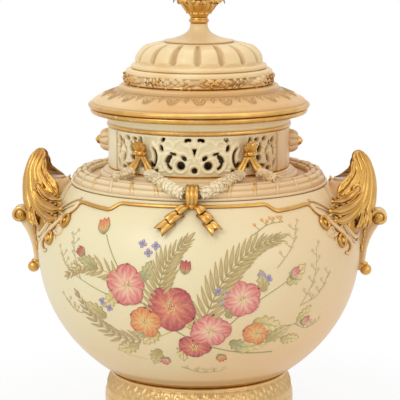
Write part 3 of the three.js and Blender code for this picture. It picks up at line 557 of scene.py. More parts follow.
def makeFoot():
    _, top, radius = nodeSize("foot_ring")
    shelf, lip = foot["bandHeight"], foot["topRadius"]
    inside = radius - foot["wall"]
    corners = [
        (radius - 1.6, 0), (radius, 2.2, 0.5), (radius, shelf - 3.4), (radius - 1, shelf - 2.4, -0.3),
        (radius - 0.5, shelf, 0.7), (radius - 1.6, shelf + 1, 0.2), (lip + 1.4, top - 2, 1.3),
        (lip + 0.9, top, 0.9), (lip - foot["wall"], top), (inside, shelf), (inside, 0),
    ]
    low, high = shelf + 1.6, top - 2.6

    def leafField(at):
        field = np.zeros(np.broadcast(at.angle, at.height).shape)
        rib = field.copy()
        step = 360 / foot["leafCount"]
        for row in range(foot["leafRows"]):
            root = high + 1 - row * (high - low) / foot["leafRows"]
            away = wrapped(at.angle + (row % 2) * step / 2, step) * radians(1) * radius
            down = (root - at.height) / foot["leafLength"]
            half = foot["leafHalfWidth"] * np.sqrt(clamp(1 - down)) * ramp(down, -0.05, 0.25)
            leaf = hump(away / np.maximum(half, 0.05)) * (0.45 + 0.55 * down) * (down > 0) * (down < 1)
            field = np.maximum(field, leaf)
            rib = np.maximum(rib, hump(away / 0.35) * (leaf > 0.15))
        return field, rib, band(at.height, low, high + 0.6, 0.5) * (at.out > 0.2)

    def relief(at):
        field, rib, inside = leafField(at)
        grain = 0.12 * np.sin(at.angle * 5.3 + at.height * 3.1) * np.sin(at.angle * 3.7 - at.height * 2.3)
        return inside * (foot["leafLift"] * (field - 0.35 - 0.3 * rib) + grain)

    # painted shade between the leaves, along their ribs and in the groove round the band
    def recess(at):
        field, rib, inside = leafField(at)
        line = 0.6 * band(at.height, shelf - 3.2, shelf - 2.2, 0.5)
        return inside * (clamp(1 - 2.2 * field) * 0.5 + 0.2 * rib) + line

    addPiece("footRing", turned(section(corners), 832, relief, {"recess": recess}), footGilding, "foot_ring")


makeFoot()


# Bowl: two half ellipses that meet at the widest place
bowlBottom, bowlTop, _ = nodeSize("bowl")
bowl = {
    "radius": 119,
    "bottomRadius": 64,
    "topRadius": 94.4,
    "lowerHeight": 93,
    "wall": 5,
    "floor": 7,
    "footLine": 3.4,
}
widest = bowlBottom + bowl["lowerHeight"]
lowerAxis = bowl["lowerHeight"] / sqrt(1 - (bowl["bottomRadius"] / bowl["radius"]) ** 2)
upperAxis = (bowlTop - widest) / sqrt(1 - (bowl["topRadius"] / bowl["radius"]) ** 2)


def bowlRadiusAt(height):
    axis = np.where(height > widest, upperAxis, lowerAxis)
    return bowl["radius"] * np.sqrt(clamp(1 - ((height - widest) / axis) ** 2))


# A point on the bowl, lifted along its normal
def onBowl(angle, height, lift):
    angle, height, lift = np.broadcast_arrays(angle, height, lift)
    slope = (bowlRadiusAt(height + 0.05) - bowlRadiusAt(height - 0.05)) / 0.1
    length = np.hypot(1, slope)
    return polar(angle, bowlRadiusAt(height) + lift / length, height - lift * slope / length)


def bowlNormal(angle, height):
    return unit(onBowl(angle, height, 1) - onBowl(angle, height, 0))


# A bar that lies along the bowl
def alongBowl(angle, height, lift, outline, scale, marks=None, joined=False):
    return swept(onBowl(angle, height, lift), bowlNormal(angle, height), outline, scale, marks, joined)


# Places on the bowl by millimetres along its surface, from the front's middle line and the widest height
surfaceHeights = np.linspace(bowlBottom, bowlTop, 1400)
surfaceSteps = np.hypot(np.diff(bowlRadiusAt(surfaceHeights)), np.diff(surfaceHeights))
surfaceLengths = np.concatenate([[0], np.cumsum(surfaceSteps)])
surfaceLengths -= np.interp(widest, surfaceHeights, surfaceLengths)


def fromSurface(across, upwards, lift):
    angle = np.degrees(across / bowl["radius"])
    return onBowl(angle, np.interp(upwards, surfaceLengths, surfaceHeights), lift)


def makeBowl():
    ends = np.arcsin((bowlBottom - widest) / lowerAxis), np.arcsin((bowlTop - widest) / upperAxis)

    def wallPath(turn, wall):
        axis = np.where(turn > 0, upperAxis, lowerAxis) - wall
        return np.stack([(bowl["radius"] - wall) * np.cos(turn), widest + axis * np.sin(turn)], -1)

    floor, line = bowlBottom + bowl["floor"], bowlBottom + bowl["footLine"]
    outer = wallPath(np.linspace(ends[0], ends[1], 200), 0)
    inner = wallPath(np.linspace(ends[1], ends[0], 60), bowl["wall"])
    path = np.concatenate([[[0, bowlBottom]], outer, inner[inner[:, 1] > floor], [[0, floor]]])
    marks = {
        "gilt": lambda at: (at.radius > 50) * (1 - ramp(at.height, line - 0.3, line + 0.3)),
        # painted shade in a band above the gilt line where the bowl meets the foot
        "recess": lambda at: (at.radius > 50) * (0.55 * band(at.height, line, line + 5.5, 2.2)),
        # painted shade: blush colour laid on more thickly towards the bottom, darker and warmer there; a little more
        # blush near the top
        "blush": lambda at: 0.6 * (1 - ramp(at.height, bowlBottom - 10, bowlBottom + 92))
        + 0.12 * ramp(at.height, bowlTop - 22, bowlTop),
    }
    addPiece("bowlBody", turned(path, 256, None, marks, joined=False), bodyIvory, "bowl")


makeBowl()
print("foot and bowl turned")


# Shoulder: a lip, the bed of the reeded band, a cove and the collar's base moulding
shoulderBottom, shoulderTop, _ = nodeSize("shoulder")
shoulder = {
    "radius": 94.4,
    "lip": 1.8,
    "bandOuter": 92.8,
    "bandInner": 79.6,
    "bandSlope": 3.2,
    "collarBase": 71.5,
    "neck": 60.8,
    "ledgeInner": 53,
    "lidThickness": 4,
}
bandBase = shoulderBottom + shoulder["lip"]


def makeShoulder():
    low, top = shoulderBottom, shoulderTop
    shelf = bandBase + shoulder["bandSlope"]
    base, neck = shoulder["collarBase"], shoulder["neck"]
    ledge = top - shoulder["lidThickness"]
    corners = [
        (shoulder["radius"] - 0.4, low - 0.25), (shoulder["radius"], bandBase - 0.2, 0.25),
        (shoulder["bandOuter"] + 0.5, bandBase, 0.1),
        (shoulder["bandInner"] - 0.4, shelf), (base + 5.2, shelf - 0.9, -0.5), (base + 1.2, shelf + 0.2, -0.7),
        (base, shelf + 3.4, 0.9), (base - 1.2, shelf + 4, -0.2), (base - 3, shelf + 5.6, 0.5),
        (base - 4.4, shelf + 5.9, -0.2), (base - 5.4, top, 0.4), (neck, top), (neck, ledge),
        (shoulder["ledgeInner"], ledge), (shoulder["ledgeInner"], ledge - 4), (neck + 4, low),
    ]

    def gilt(at):
        return band(at.height, shelf + 6, top + 1, 0.3) * (at.radius > neck + 3)

    # brown lines and painted shade: in the step under the collar's base moulding, along the lip's lower edge and
    # beside the reeded band
    def recess(at):
        outer = at.radius > neck + 3
        lines = 0.75 * band(at.height, shelf + 4, shelf + 4.6, 0.5) + 0.35 * hump((at.height - low) / 0.7)
        bed = 0.4 * hump((at.radius - shoulder["bandInner"] + 0.8) / 1.6) * (at.height > bandBase)
        return outer * (lines + bed)

    def blush(at):
        return 0.35 * band(at.radius, base, shoulder["bandInner"], 3) + 0.1

    shape = turned(section(corners), 384, None, {"gilt": gilt, "recess": recess, "blush": blush})
    addPiece("shoulderSlope", shape, warmBlush, "shoulder")


reeded = {
    "height": 6.4,
    "reeds": 4,
    "reedDepth": 1.7,
    "tieCount": 30,
    "tieLift": 0.5,
    "tieHalfWidth": 0.75,
    "slant": 3.6,
}


def makeReededBand():
    step = 360 / reeded["tieCount"]
    outer, inner = shoulder["bandOuter"], shoulder["bandInner"]
    middle, half = (outer + inner) / 2, (outer - inner) / 2
    columns = 36 * reeded["tieCount"]
    angle = np.arange(columns)[None, :] * 360 / columns
    turn = np.linspace(0, pi, 64)[:, None]
    lean = np.where(wrapped(angle) > 0, -1, 1) * reeded["slant"] * np.cos(turn)
    away = np.abs(wrapped(angle - step / 2, step) * radians(1) * middle - lean)
    tie = ramp(reeded["tieHalfWidth"] + 0.35 - away, 0, 0.5)
    edge = hump((away - reeded["tieHalfWidth"] - 0.5) / 0.6)
    reed = np.abs(np.sin(reeded["reeds"] * turn)) ** 0.8
    bare = 1 - tie
    lift = bare * reeded["reedDepth"] * (reed - 1)
    lift = lift + tie * (reeded["tieLift"] - reeded["reedDepth"] * 0.4 * (1 - reed)) - edge * 0.2 * np.sin(turn)
    lift = lift * np.sin(turn) ** 0.25
    r = middle + (half + lift * np.abs(np.cos(turn))) * np.cos(turn)
    z = bandBase + shoulder["bandSlope"] / 2 * (1 - np.cos(turn)) + np.sin(turn) * (reeded["height"] + lift) + 0.3
    number = np.floor((angle - step / 2) / step + 0.5).astype(int) % reeded["tieCount"]
    gold = dice.uniform(0, 1, reeded["tieCount"])[number]
    shape = gridShape(polar(angle, r, z), {
        "gilt": tie * ramp(gold, 0.25, 0.6) * hump((turn - pi / 2 + 0.5) / 1.2),
        # painted shade in the valleys between the reeds and in dark lines beside each tie
        "recess": (bare * (1 - reed) ** 1.2 + edge * 0.85) * np.sin(turn) ** 0.3,
        "blush": 0.45,
    }, joined=True)
    addPiece("reedAndTieBand", shape, paleIvory, "reeded_band")


makeShoulder()
makeReededBand()
print("shoulder turned")


# Collar: a pierced and moulded panel at the front and the back, with a plain pilaster at each side
collarBottom, collarTop, collarReach = nodeSize("collar")
collar = {
    "radius": 65.6,
    "wall": 4.8,
    "pilasterAngle": 62,
    "pilasterStep": 74,
    "pilasterLift": 1,
    "edgeRound": 0.8,
    "ridge": 1,
}
# Holes of one half panel, in millimetres right of the middle line and up from the collar's base
halfPanel = {
    "rounds": [(9.8, 8, 3), (0, 4.6, 2.1)],
    "leaves": [  # across, up, length, width, tilt
        (7.4, 13.2, 4.6, 3, 38), (15.5, 16.4, 5.2, 2.1, 20), (3.6, 26.4, 3, 2.4, 40), (5.8, 26, 3.4, 2.6, -35),
        (23, 26.2, 3.8, 2.6, -55), (24.1, 20.2, 4.8, 3.2, 80), (40.4, 7.3, 3.8, 3, 60), (32.4, 8, 3.8, 3.2, 100),
        (28.6, 3.4, 4, 2.4, -40), (41.6, 24.8, 4.4, 2, 80), (50.2, 19, 6.6, 3.2, 75), (49.4, 12, 4.4, 3.4, 110),
        (54.6, 25.4, 3.4, 2.2, 30), (64, 23.8, 4.2, 2.8, 40), (64.2, 16.4, 7.4, 2, 100), (59.2, 3.6, 4, 3.2, 20),
        (56.8, 17.6, 6.6, 1.7, 64), (58.6, 10.4, 6.2, 1.9, 104), (53.6, 6.2, 4.6, 2, -30), (66.2, 7.6, 6, 2, 76),
        (59.8, 22.4, 4, 1.8, -60), (47.4, 25.2, 3, 2, 0), (46.6, 4, 3.6, 2.2, 30),
    ],
    "crescents": [  # across, up, radius, half turn, half width
        (14.8, 10.2, 4.9, 60, 1.9), (38.6, 13.2, 10.2, 40, 0.95),
    ],
    "wedge": (0, 17.4, 3.6, 5.4),
}
# Scrolls moulded between the holes: across, up, radius, from, to (degrees), half width
panelScrolls = [
    (14.8, 10.2, 7.6, -70, 88, 1.1), (9.8, 8, 4.8, 100, 330, 1), (9.6, 20.6, 5.4, 30, 175, 1.1),
    (19, 21.8, 3.6, -40, 200, 1), (3.2, 21.8, 3, 0, 160, 1), (27.6, 24.6, 5, 200, 330, 1),
    (38.6, 13.2, 12.6, 125, 232, 1.2), (24, 8.6, 4.6, 110, 290, 1), (49, 15.6, 5.6, -70, 120, 0.9),
    (54.4, 12, 4.6, 60, 260, 0.9), (61.6, 13, 4.4, -60, 150, 0.9), (60.6, 20, 4.4, 100, 300, 0.9),
    (67, 14.6, 4.4, 80, 280, 0.9), (56, 4.6, 4, 10, 190, 0.9), (3, 10.4, 3, -60, 100, 0.9),
]


def arcDistance(x, y, centreX, centreY, radius, start, stop):
    middle, half = radians((start + stop) / 2), radians((stop - start) / 2)
    dx, dy = x - centreX, y - centreY
    px = dx * cos(middle) + dy * sin(middle)
    py = np.abs(-dx * sin(middle) + dy * cos(middle))
    onArc = np.arctan2(py, px) < half
    away = np.abs(np.hypot(px, py) - radius)
    toEnd = np.hypot(px - radius * cos(half), py - radius * sin(half))
    return np.where(onArc, away, toEnd)


# How far a place on the panel is from the nearest hole, below zero inside one
def holeDistance(x, y, behind):
    x = np.abs(x)
    nearest = np.full(np.shape(x), 99)
    for across, up, radius in halfPanel["rounds"]:
        nearest = np.minimum(nearest, np.hypot(x - across, y - up) - np.where(behind, 0.5, 1) * radius)
    for across, up, length, width, tilt in halfPanel["leaves"]:
        turn = radians(tilt)
        along = (x - across) * cos(turn) + (y - up) * sin(turn)
        aside = -(x - across) * sin(turn) + (y - up) * cos(turn)
        size = np.hypot(along / (length / 2), aside / (width / 2))
        nearest = np.minimum(nearest, (size - 1) * width / 2)
    for index, (across, up, radius, half, thick) in enumerate(halfPanel["crescents"]):
        start, stop = 180 * index - half, 180 * index + half
        bearing = np.degrees(np.arctan2(y - up, x - across)) % 360 - 180 * index
        taper = thick * (0.55 + 0.45 * hump(bearing / 90))
        nearest = np.minimum(nearest, arcDistance(x, y, across, up, radius, start, stop) - taper)
    across, up, width, height = halfPanel["wedge"]
    share = (y - (up - height / 2)) / height
    slope = hypot(height, width / 2) / height
    wedge = np.maximum((x - share * width / 2) / slope, y - (up + height / 2))
    return np.minimum(nearest, wedge)


def panelRelief(x, y, behind):
    x = np.abs(x)
    ridge = np.zeros(np.shape(x))
    for across, up, radius, start, stop, half in panelScrolls:
        ridge = np.maximum(ridge, hump(arcDistance(x, y, across, up, radius, start, stop) / (half * 1.5)))
    distance = holeDistance(x, y, behind)
    rim = 0.6 * hump((distance - 1.5) / 1.3)
    shell = 0.35 * hump((np.hypot(x, (y - 20.5) * 1.3) - 2) / 3)
    return np.maximum(np.maximum(ridge, rim), shell), distance


def makeCollar():
    columns, rows = 960, 66
    height = collarTop - collarBottom
    angle = np.arange(columns) * 360 / columns
    local = wrapped(angle, 180)
    x, y = np.meshgrid(np.radians(local) * collar["radius"], np.linspace(0, height, rows))
    plain = np.repeat((np.abs(local) > collar["pilasterAngle"])[None, :], rows, 0)
    behind = np.repeat((np.abs(wrapped(angle)) > 90)[None, :], rows, 0)  # whose round holes are smaller
    distance = np.where(plain, 9, holeDistance(x, y, behind))
    centre = distance + np.roll(distance, -1, 1)
    centre[:-1] += centre[1:]
    quads = gridQuads(rows, columns)[(centre[:-1] > 0).reshape(-1)]
    used = np.bincount(quads.reshape(-1), minlength=rows * columns).reshape(rows, columns)
    border = (used < 4) & (used > 0) & ~plain
    border[0] = border[-1] = False
    # The border of each hole is drawn onto the hole's true outline
    moveX, moveY = x.copy(), y.copy()
    for _ in range(4):
        here = holeDistance(moveX, moveY, behind)
        slopeX = (holeDistance(moveX + 0.05, moveY, behind) - holeDistance(moveX - 0.05, moveY, behind)) / 0.1
        slopeY = (holeDistance(moveX, moveY + 0.05, behind) - holeDistance(moveX, moveY - 0.05, behind)) / 0.1
        length = np.maximum(slopeX ** 2 + slopeY ** 2, 0.2)
        moveX = np.where(border, moveX - here * slopeX / length, moveX)
        moveY = np.where(border, np.clip(moveY - here * slopeY / length, 0, height), moveY)
    relief, distance = panelRelief(moveX, moveY, behind)
    edge = np.exp(-np.clip(distance, 0, None) / 0.55)
    frameEdge = band(moveY, 1.4, height - 1.4, 0.5)
    aside = np.abs(np.repeat(local[None, :], rows, 0))
    pilasterEdge = ramp(aside, collar["pilasterAngle"] - 0.3, collar["pilasterAngle"] + 0.5)
    groove = hump((aside - collar["pilasterAngle"] + 1.2) / 1.2) + 0.6 * hump((aside - collar["pilasterStep"]) / 1.1)
    lift = frameEdge * (1 - pilasterEdge) * (collar["ridge"] * relief - collar["edgeRound"] * edge)
    lift = lift + pilasterEdge * collar["pilasterLift"] - 0.5 * groove
    turn = angle[None, :] + np.degrees((moveX - x) / collar["radius"])
    outer = polar(turn, collar["radius"] + lift, collarBottom + moveY).reshape(-1, 3)
    inner = polar(turn, collar["radius"] - collar["wall"], collarBottom + moveY).reshape(-1, 3)
    count = rows * columns
    edges = np.concatenate([quads[:, [k, (k + 1) % 4]] for k in range(4)])
    code, opposite = edges @ [count, 1], edges @ [1, count]
    free = edges[~np.isin(code, opposite)]
    walls = np.stack([free[:, 1], free[:, 0], free[:, 0] + count, free[:, 1] + count], -1)
    quads = np.concatenate([quads, quads[:, ::-1] + count, walls])
    # painted shade: the ground between the raised scrolls darkens, more towards the panel's sides, as do the holes'
    # borders, the grooves by the pilasters and a line at the base
    groundShade = 0.3 + 0.4 * ramp(np.abs(moveX), 40, 50) * (1 - pilasterEdge)
    recess = frameEdge * (1 - pilasterEdge) * clamp(groundShade * (1 - relief) ** 2 + 0.3 * edge) + 0.8 * groove
    recess = recess + 0.25 * hump((moveY - 1.2) / 0.8)
    gilt = 1 - ramp(moveY, 0.3, 0.7)
    # painted shading: more blush colour laid on towards the urn's right side
    blush = clamp((turn - 20) / 60) * (turn < 180) * 0.5
    kept = np.unique(quads)
    marks = {}
    # the inner wall takes full painted shade
    for name, value, inside in (("recess", recess, 1), ("gilt", gilt, 0), ("blush", blush, 0.3)):
        marks[name] = clamp(np.append(value.reshape(-1), np.full(count, inside)))[kept]
    points = np.concatenate([outer, inner])[kept]
    shape = {"points": points, "quads": np.searchsorted(kept, quads), "caps": [], "marks": marks}
    addPiece("piercedCollar", shape, paleIvory, "collar")


makeCollar()


# Rim: a cavetto between a gilt bead and a gilt edge
def makeRim():
    low, top, edge = nodeSize("rim")
    radius = collar["radius"]
    corners = [
        (radius + 0.4, low), (radius + 1.9, low + 2, 0.8), (radius + 0.9, low + 3.4, 0.3),
        (radius + 7.6, low + 8.8, -1.2), (edge - 2, low + 9.6, 0.2), (edge, low + 11.4, 0.6),
        (edge - 0.5, top, 0.4), (edge - 5, top), (shoulder["neck"], low + 5.4), (shoulder["neck"], low),
    ]

    def gilt(at):
        gold = 1 - ramp(at.height, low + 2.9, low + 3.5) + ramp(at.height, low + 9, low + 9.6)
        return gold * (at.radius > shoulder["neck"] + 3)

    # painted shade beside the gilt bead and the gilt edge
    def recess(at):
        return 0.6 * hump((at.height - low - 3.6) / 0.8) + 0.5 * hump((at.height - low - 9.1) / 0.7)

    shape = turned(section(corners), 320, None, {"gilt": gilt, "recess": recess})
    addPiece("flaredRim", shape, paleIvory, "rim")


makeRim()
print("collar and rim made")


# Cover: flange with its frieze, bezel, garland ring, gadrooned dome and concave spire
cover = {
    "edge": 81,
    "seat": 74.6,
    "eye": 41.6,
    "wall": 4.6,
    "shelf": 72.2,
    "friezeInner": 60.4,
    "friezeOuter": 75.4,
    "friezeRadius": 66,
    "beadRadius": 62,
    "palmettes": 22,
    "firstPalmette": 3.2,
    "friezeLift": 0.9,
    "bezelInner": 56.6,
    "spireTip": 6.4,
}


def friezeField(angle, radius):
    step, first, middle = 360 / cover["palmettes"], cover["firstPalmette"], cover["friezeRadius"]
    across = wrapped(angle - first, step) * radians(1) * middle
    out = (radius - cover["friezeInner"]) * 11.4 / (cover["friezeOuter"] - cover["friezeInner"])
    field = 0.9 * hump((out - 0.6) / 0.55)
    beads = wrapped(angle, step / 6) * radians(1) * cover["beadRadius"]
    field = np.maximum(field, 0.8 * hump(np.hypot(beads, out - 1.9) / 0.75))
    for size in (2.3, 4.2):
        field = np.maximum(field, 0.85 * hump((np.hypot(across, (out - 2.6) * 0.85) - size) / 0.62) * (out > 2.4))
    for tilt in (-52, -26, 0, 26, 52):
        turn = radians(tilt)
        along = across * sin(turn) + (out - 5.2) * cos(turn)
        aside = across * cos(turn) - (out - 5.2) * sin(turn)
        field = np.maximum(field, hump(np.hypot((along - 2) / 2.6, aside / 0.85)))
    beside = wrapped(angle - first + step / 2, step) * radians(1) * middle
    field = np.maximum(field, 0.8 * hump((np.hypot(beside, out - 2.8) - 1.5) / 0.6) * (out < 5.2))
    return np.maximum(field, 0.75 * hump(np.hypot(beside, out - 5.6) / 1.1))


def makeFlange():
    low, top, _ = nodeSize("cover_flange")
    edge, lace = cover["edge"], cover["friezeInner"]
    corners = [
        (edge - 1.4, low), (edge, low + 1.4, 0.5), (edge - 0.5, low + 3, 0.5), (edge - 2, low + 4, -0.2),
        (cover["shelf"], low + 8.2, 0.7), (lace - 0.6, low + 13.2, 0.3), (lace - 1.6, low + 13.6, -0.3),
        (lace - 4.4, top - 0.2, 1.1), (cover["eye"], top), (cover["eye"], top - cover["wall"]),
        (cover["bezelInner"], top - 7.4), (60, low + 7.9), (cover["seat"] - 1, low + 3.4), (cover["seat"], low),
    ]

    def frieze(at):
        return band(at.radius, lace - 0.2, cover["friezeOuter"], 0.6) * (at.up > 0.3)

    def relief(at):
        return cover["friezeLift"] * frieze(at) * (friezeField(at.angle, at.radius) - 0.25)

    def gilt(at):
        rim = ramp(at.radius, edge - 1.7, edge - 1.2) * (at.height < low + 4.4)
        return rim + 0.35 * frieze(at) * ramp(friezeField(at.angle, at.radius), 0.5, 0.9)

    # painted shade: the ground round the lace figures, a line by the edge, the step at the frieze's inner edge and the
    # underside are darkened
    def recess(at):
        field = friezeField(at.angle, at.radius)
        figure = frieze(at) * (0.95 * ramp(field, 0.05, 0.3) - 0.45 * ramp(field, 0.8, 1))
        figure = np.maximum(figure, 0.4 * band(at.radius, lace, lace + 5.5, 3.5) * (at.up > 0.3))
        lines = 0.7 * hump((at.radius - edge + 2.2) / 0.8) * (at.height > low + 2)
        return figure + lines + hump(at.radius - lace + 0.9) * (at.up > 0) + (at.up < -0.5) * 0.3

    # painted shading: blush colour laid on more towards the front, darker and warmer there
    marks = {"gilt": gilt, "recess": recess, "blush": lambda at: 0.25 + 0.45 * hump(wrapped(at.angle - 14) / 75)}
    shape = turned(section(corners, 0.42), 1080, relief, marks)
    addPiece("coverFlange", shape, coverIvory, "cover_flange", "cover")


def makeBezel():
    low, top, outer = nodeSize("cover_bezel")
    inner = cover["bezelInner"]
    shape = turned(section([(outer, low), (outer, top - 1.9), (inner, top), (inner, low)]), 192)
    addPiece("coverBezel", shape, coverIvory, "cover_bezel", "cover")


garlandRing = {
    "leafRows": 4,
    "leafCount": 60,
    "leafLength": 5.6,
    "leafWidth": 3.2,
    "ribbons": 8,
}


def makeGarlandRing():
    base, top, radius = nodeSize("cover_garland_ring")
    corners = [
        (radius - 2.6, base), (radius - 1.2, base + 1.2, 0.6), (radius - 2.9, base + 2.2, 0.3),
        (radius - 2.3, base + 7, 1.2), (radius - 1.4, base + 7.8, 0.5), (radius - 4.6, top - 0.2, 1.2),
        (cover["eye"], top), (cover["eye"], base),
    ]

    # painted shade in the bed under the leaves and the groove above it
    def recess(at):
        bed = 0.5 * band(at.height, base + 2.2, base + 7.4, 0.4) * (at.out > 0)
        return bed + 0.5 * hump((at.height - base - 7.2) / 0.7)

    def gilt(at):
        return (1 - ramp(at.height, base + 1, base + 2)) * (at.out > 0.1) * 0.9

    ring = turned(section(corners), 320, None, {"recess": recess, "gilt": gilt})
    rows = []
    leaf = leafShape(thick=0.3)
    for row in range(garlandRing["leafRows"]):
        turn = radians(-60 + row * 26)
        angle = (np.arange(garlandRing["leafCount"]) + 0.5 * (row % 2)) * 360 / garlandRing["leafCount"]
        angle = angle + dice.uniform(-0.6, 0.6, len(angle))
        out = polar(angle, cos(turn), sin(turn))
        sense = np.where((angle // 22.5).astype(int) % 2 == 0, 1, -1)[:, None]
        along = polar(angle + 90, 1, 0) * sense + 0.35 * out
        along = unit(along + polar(angle, 0, dice.uniform(-0.3, 0.3, len(angle))))
        side = unit(np.cross(out, along))
        face = np.cross(along, side)
        places = polar(angle, radius - 3.7 + 2 * cos(turn), base + 5 + 3.1 * sin(turn))
        size = np.array([garlandRing["leafLength"], garlandRing["leafWidth"], 1.9])
        rows.append(stamped(leaf, places, np.stack([along, side, face], 1) * size[None, :, None]))
    leaves = joinShapes(rows)
    leafAngle = np.degrees(np.arctan2(leaves["points"][:, 0], -leaves["points"][:, 1]))
    lower = 1 - ramp(leaves["points"][:, 2], base + 2, base + 7.5)
    patch = clamp(0.25 + 0.9 * np.sin(np.radians(leafAngle * 3 + 20))) * (np.abs(leafAngle) % 180 < 66)
    leaves["marks"]["gilt"] = 0.9 * lower * patch * dice.uniform(0.7, 1, len(leafAngle))
    # painted shade between the leaves, kept light
    leaves["marks"]["recess"] = leaves["marks"]["recess"] * 0.35
    leaves["marks"]["blush"] = clamp(0.2 + 0.5 * np.sin(np.radians(leafAngle * 5 + 40)))
    strip = np.array([(-0.9, 0), (-0.8, 0.5), (0, 0.75), (0.8, 0.5), (0.9, 0), (0, -0.4)])
    crossings = []
    share = np.linspace(-1, 1, 17)
    turn = np.radians(share * 72)
    for number in range(garlandRing["ribbons"]):
        for lean in (-1, 1):
            angle = 14 + number * 360 / garlandRing["ribbons"] + lean * share * 5
            path = polar(angle, radius - 3.6 + 2.9 * np.cos(turn), base + 4.6 + 3 * np.sin(turn))
            crossings.append(swept(path, polar(angle, np.cos(turn), np.sin(turn)), strip))
    addPiece("garlandRing", joinShapes([ring, leaves]), coverBlush, "cover_garland_ring", "cover")
    addPiece("garlandRibbons", joinShapes(crossings), gilding, body="cover")


dome = {
    "gadroons": 16,
    "grooveHalfAngle": 4.3,
    "grooveDepth": 1.9,
    "firstGroove": 1.4,
    "spring": 4.4,
    "topRadius": 27,
    "radius": 46.6,
}


def makeDome():
    base, top, _ = nodeSize("cover_dome")
    wide, slim = dome["radius"], dome["topRadius"]
    spring = dome["spring"]
    run, rise = wide - slim, top - base - spring
    arc = [(slim + run * cos(turn), base + spring + rise * sin(turn)) for turn in np.linspace(0, pi / 2, 12)]
    corners = [(wide + 2.6, base - 0.25), (wide + 1.7, base + 3.2, 0.9), (wide - 0.6, base + 3.9, -0.25)]
    corners += arc + [(slim - 5, top), (slim - 5, top - 5), (wide - 7, base + spring), (wide - 5, base - 0.25)]
    step = 360 / dome["gadroons"]

    # Flutes with round ends, from just over the lip to just under the spire
    def groove(at):
        away = wrapped(at.angle - dome["firstGroove"], step)
        way = np.arctan2((at.height - base - spring) / rise, (at.radius - slim) / run)
        end = clamp((way - 0.02) / 0.12) * clamp((1.48 - way) / 0.08)
        half = (dome["grooveHalfAngle"] - 0.4 * way) * np.sqrt(end)
        return hump(away / np.maximum(half, 0.05)) ** 0.6 * (end > 0) * (at.up > -0.2)

    def relief(at):
        away = wrapped(at.angle - dome["firstGroove"], step)
        share = clamp((at.height - base - 5) / (top - base - 6.5))
        swell = 0.8 * np.cos(pi * away / step - pi / 2) ** 2
        return swell * band(share, 0.05, 0.93, 0.05) * (at.up > -0.2) - dome["grooveDepth"] * groove(at)

    # painted shade in the flutes, the line above the lip and the groove under the spire
    def recess(at):
        lines = 0.5 * hump((at.height - base - 4.5) / 0.6) + 0.75 * hump((at.radius - slim - 0.4) / 0.9)
        return (at.up > -0.2) * (0.85 * groove(at) + lines * (at.radius < wide + 1.4))

    shape = turned(section(corners, 0.5), 960, relief, {"recess": recess})
    addPiece("gadroonedDome", shape, coverIvory, "cover_dome", "cover")


def makeSpire():
    base, top, radius = nodeSize("cover_spire")
    tip = cover["spireTip"]
    share = shares(30)
    curve = np.stack([tip + (radius - tip) * (1 - share) ** 2.6, base + 1 + (top - base - 1) * share ** 1.15], -1)
    path = np.concatenate([[[0, base - 0.25], [radius - 0.5, base - 0.25], [radius, base + 0.5]], curve, [[0, top]]])
    # painted shade in the gap at the spire's foot
    recess = lambda at: 0.5 * (1 - ramp(at.height, base + 0.4, base + 1.3)) * (at.radius > 20)
    shape = turned(path, 192, None, {"recess": recess, "blush": 0.25}, joined=False)
    addPiece("concaveSpire", shape, coverBlush, "cover_spire", "cover")


makeFlange()
makeBezel()
makeGarlandRing()
makeDome()
makeSpire()
print("cover made")


# Finial: a ring, a calyx of curling leaves and a fluted bud
finial = {
    "stalk": 6.4,
    "cup": 13.2,
    "leafCount": 12,
    "leafRoot": 8.6,
    "curl": 2.6,
    "budRadius": 9.4,
    "flutes": 6,
}


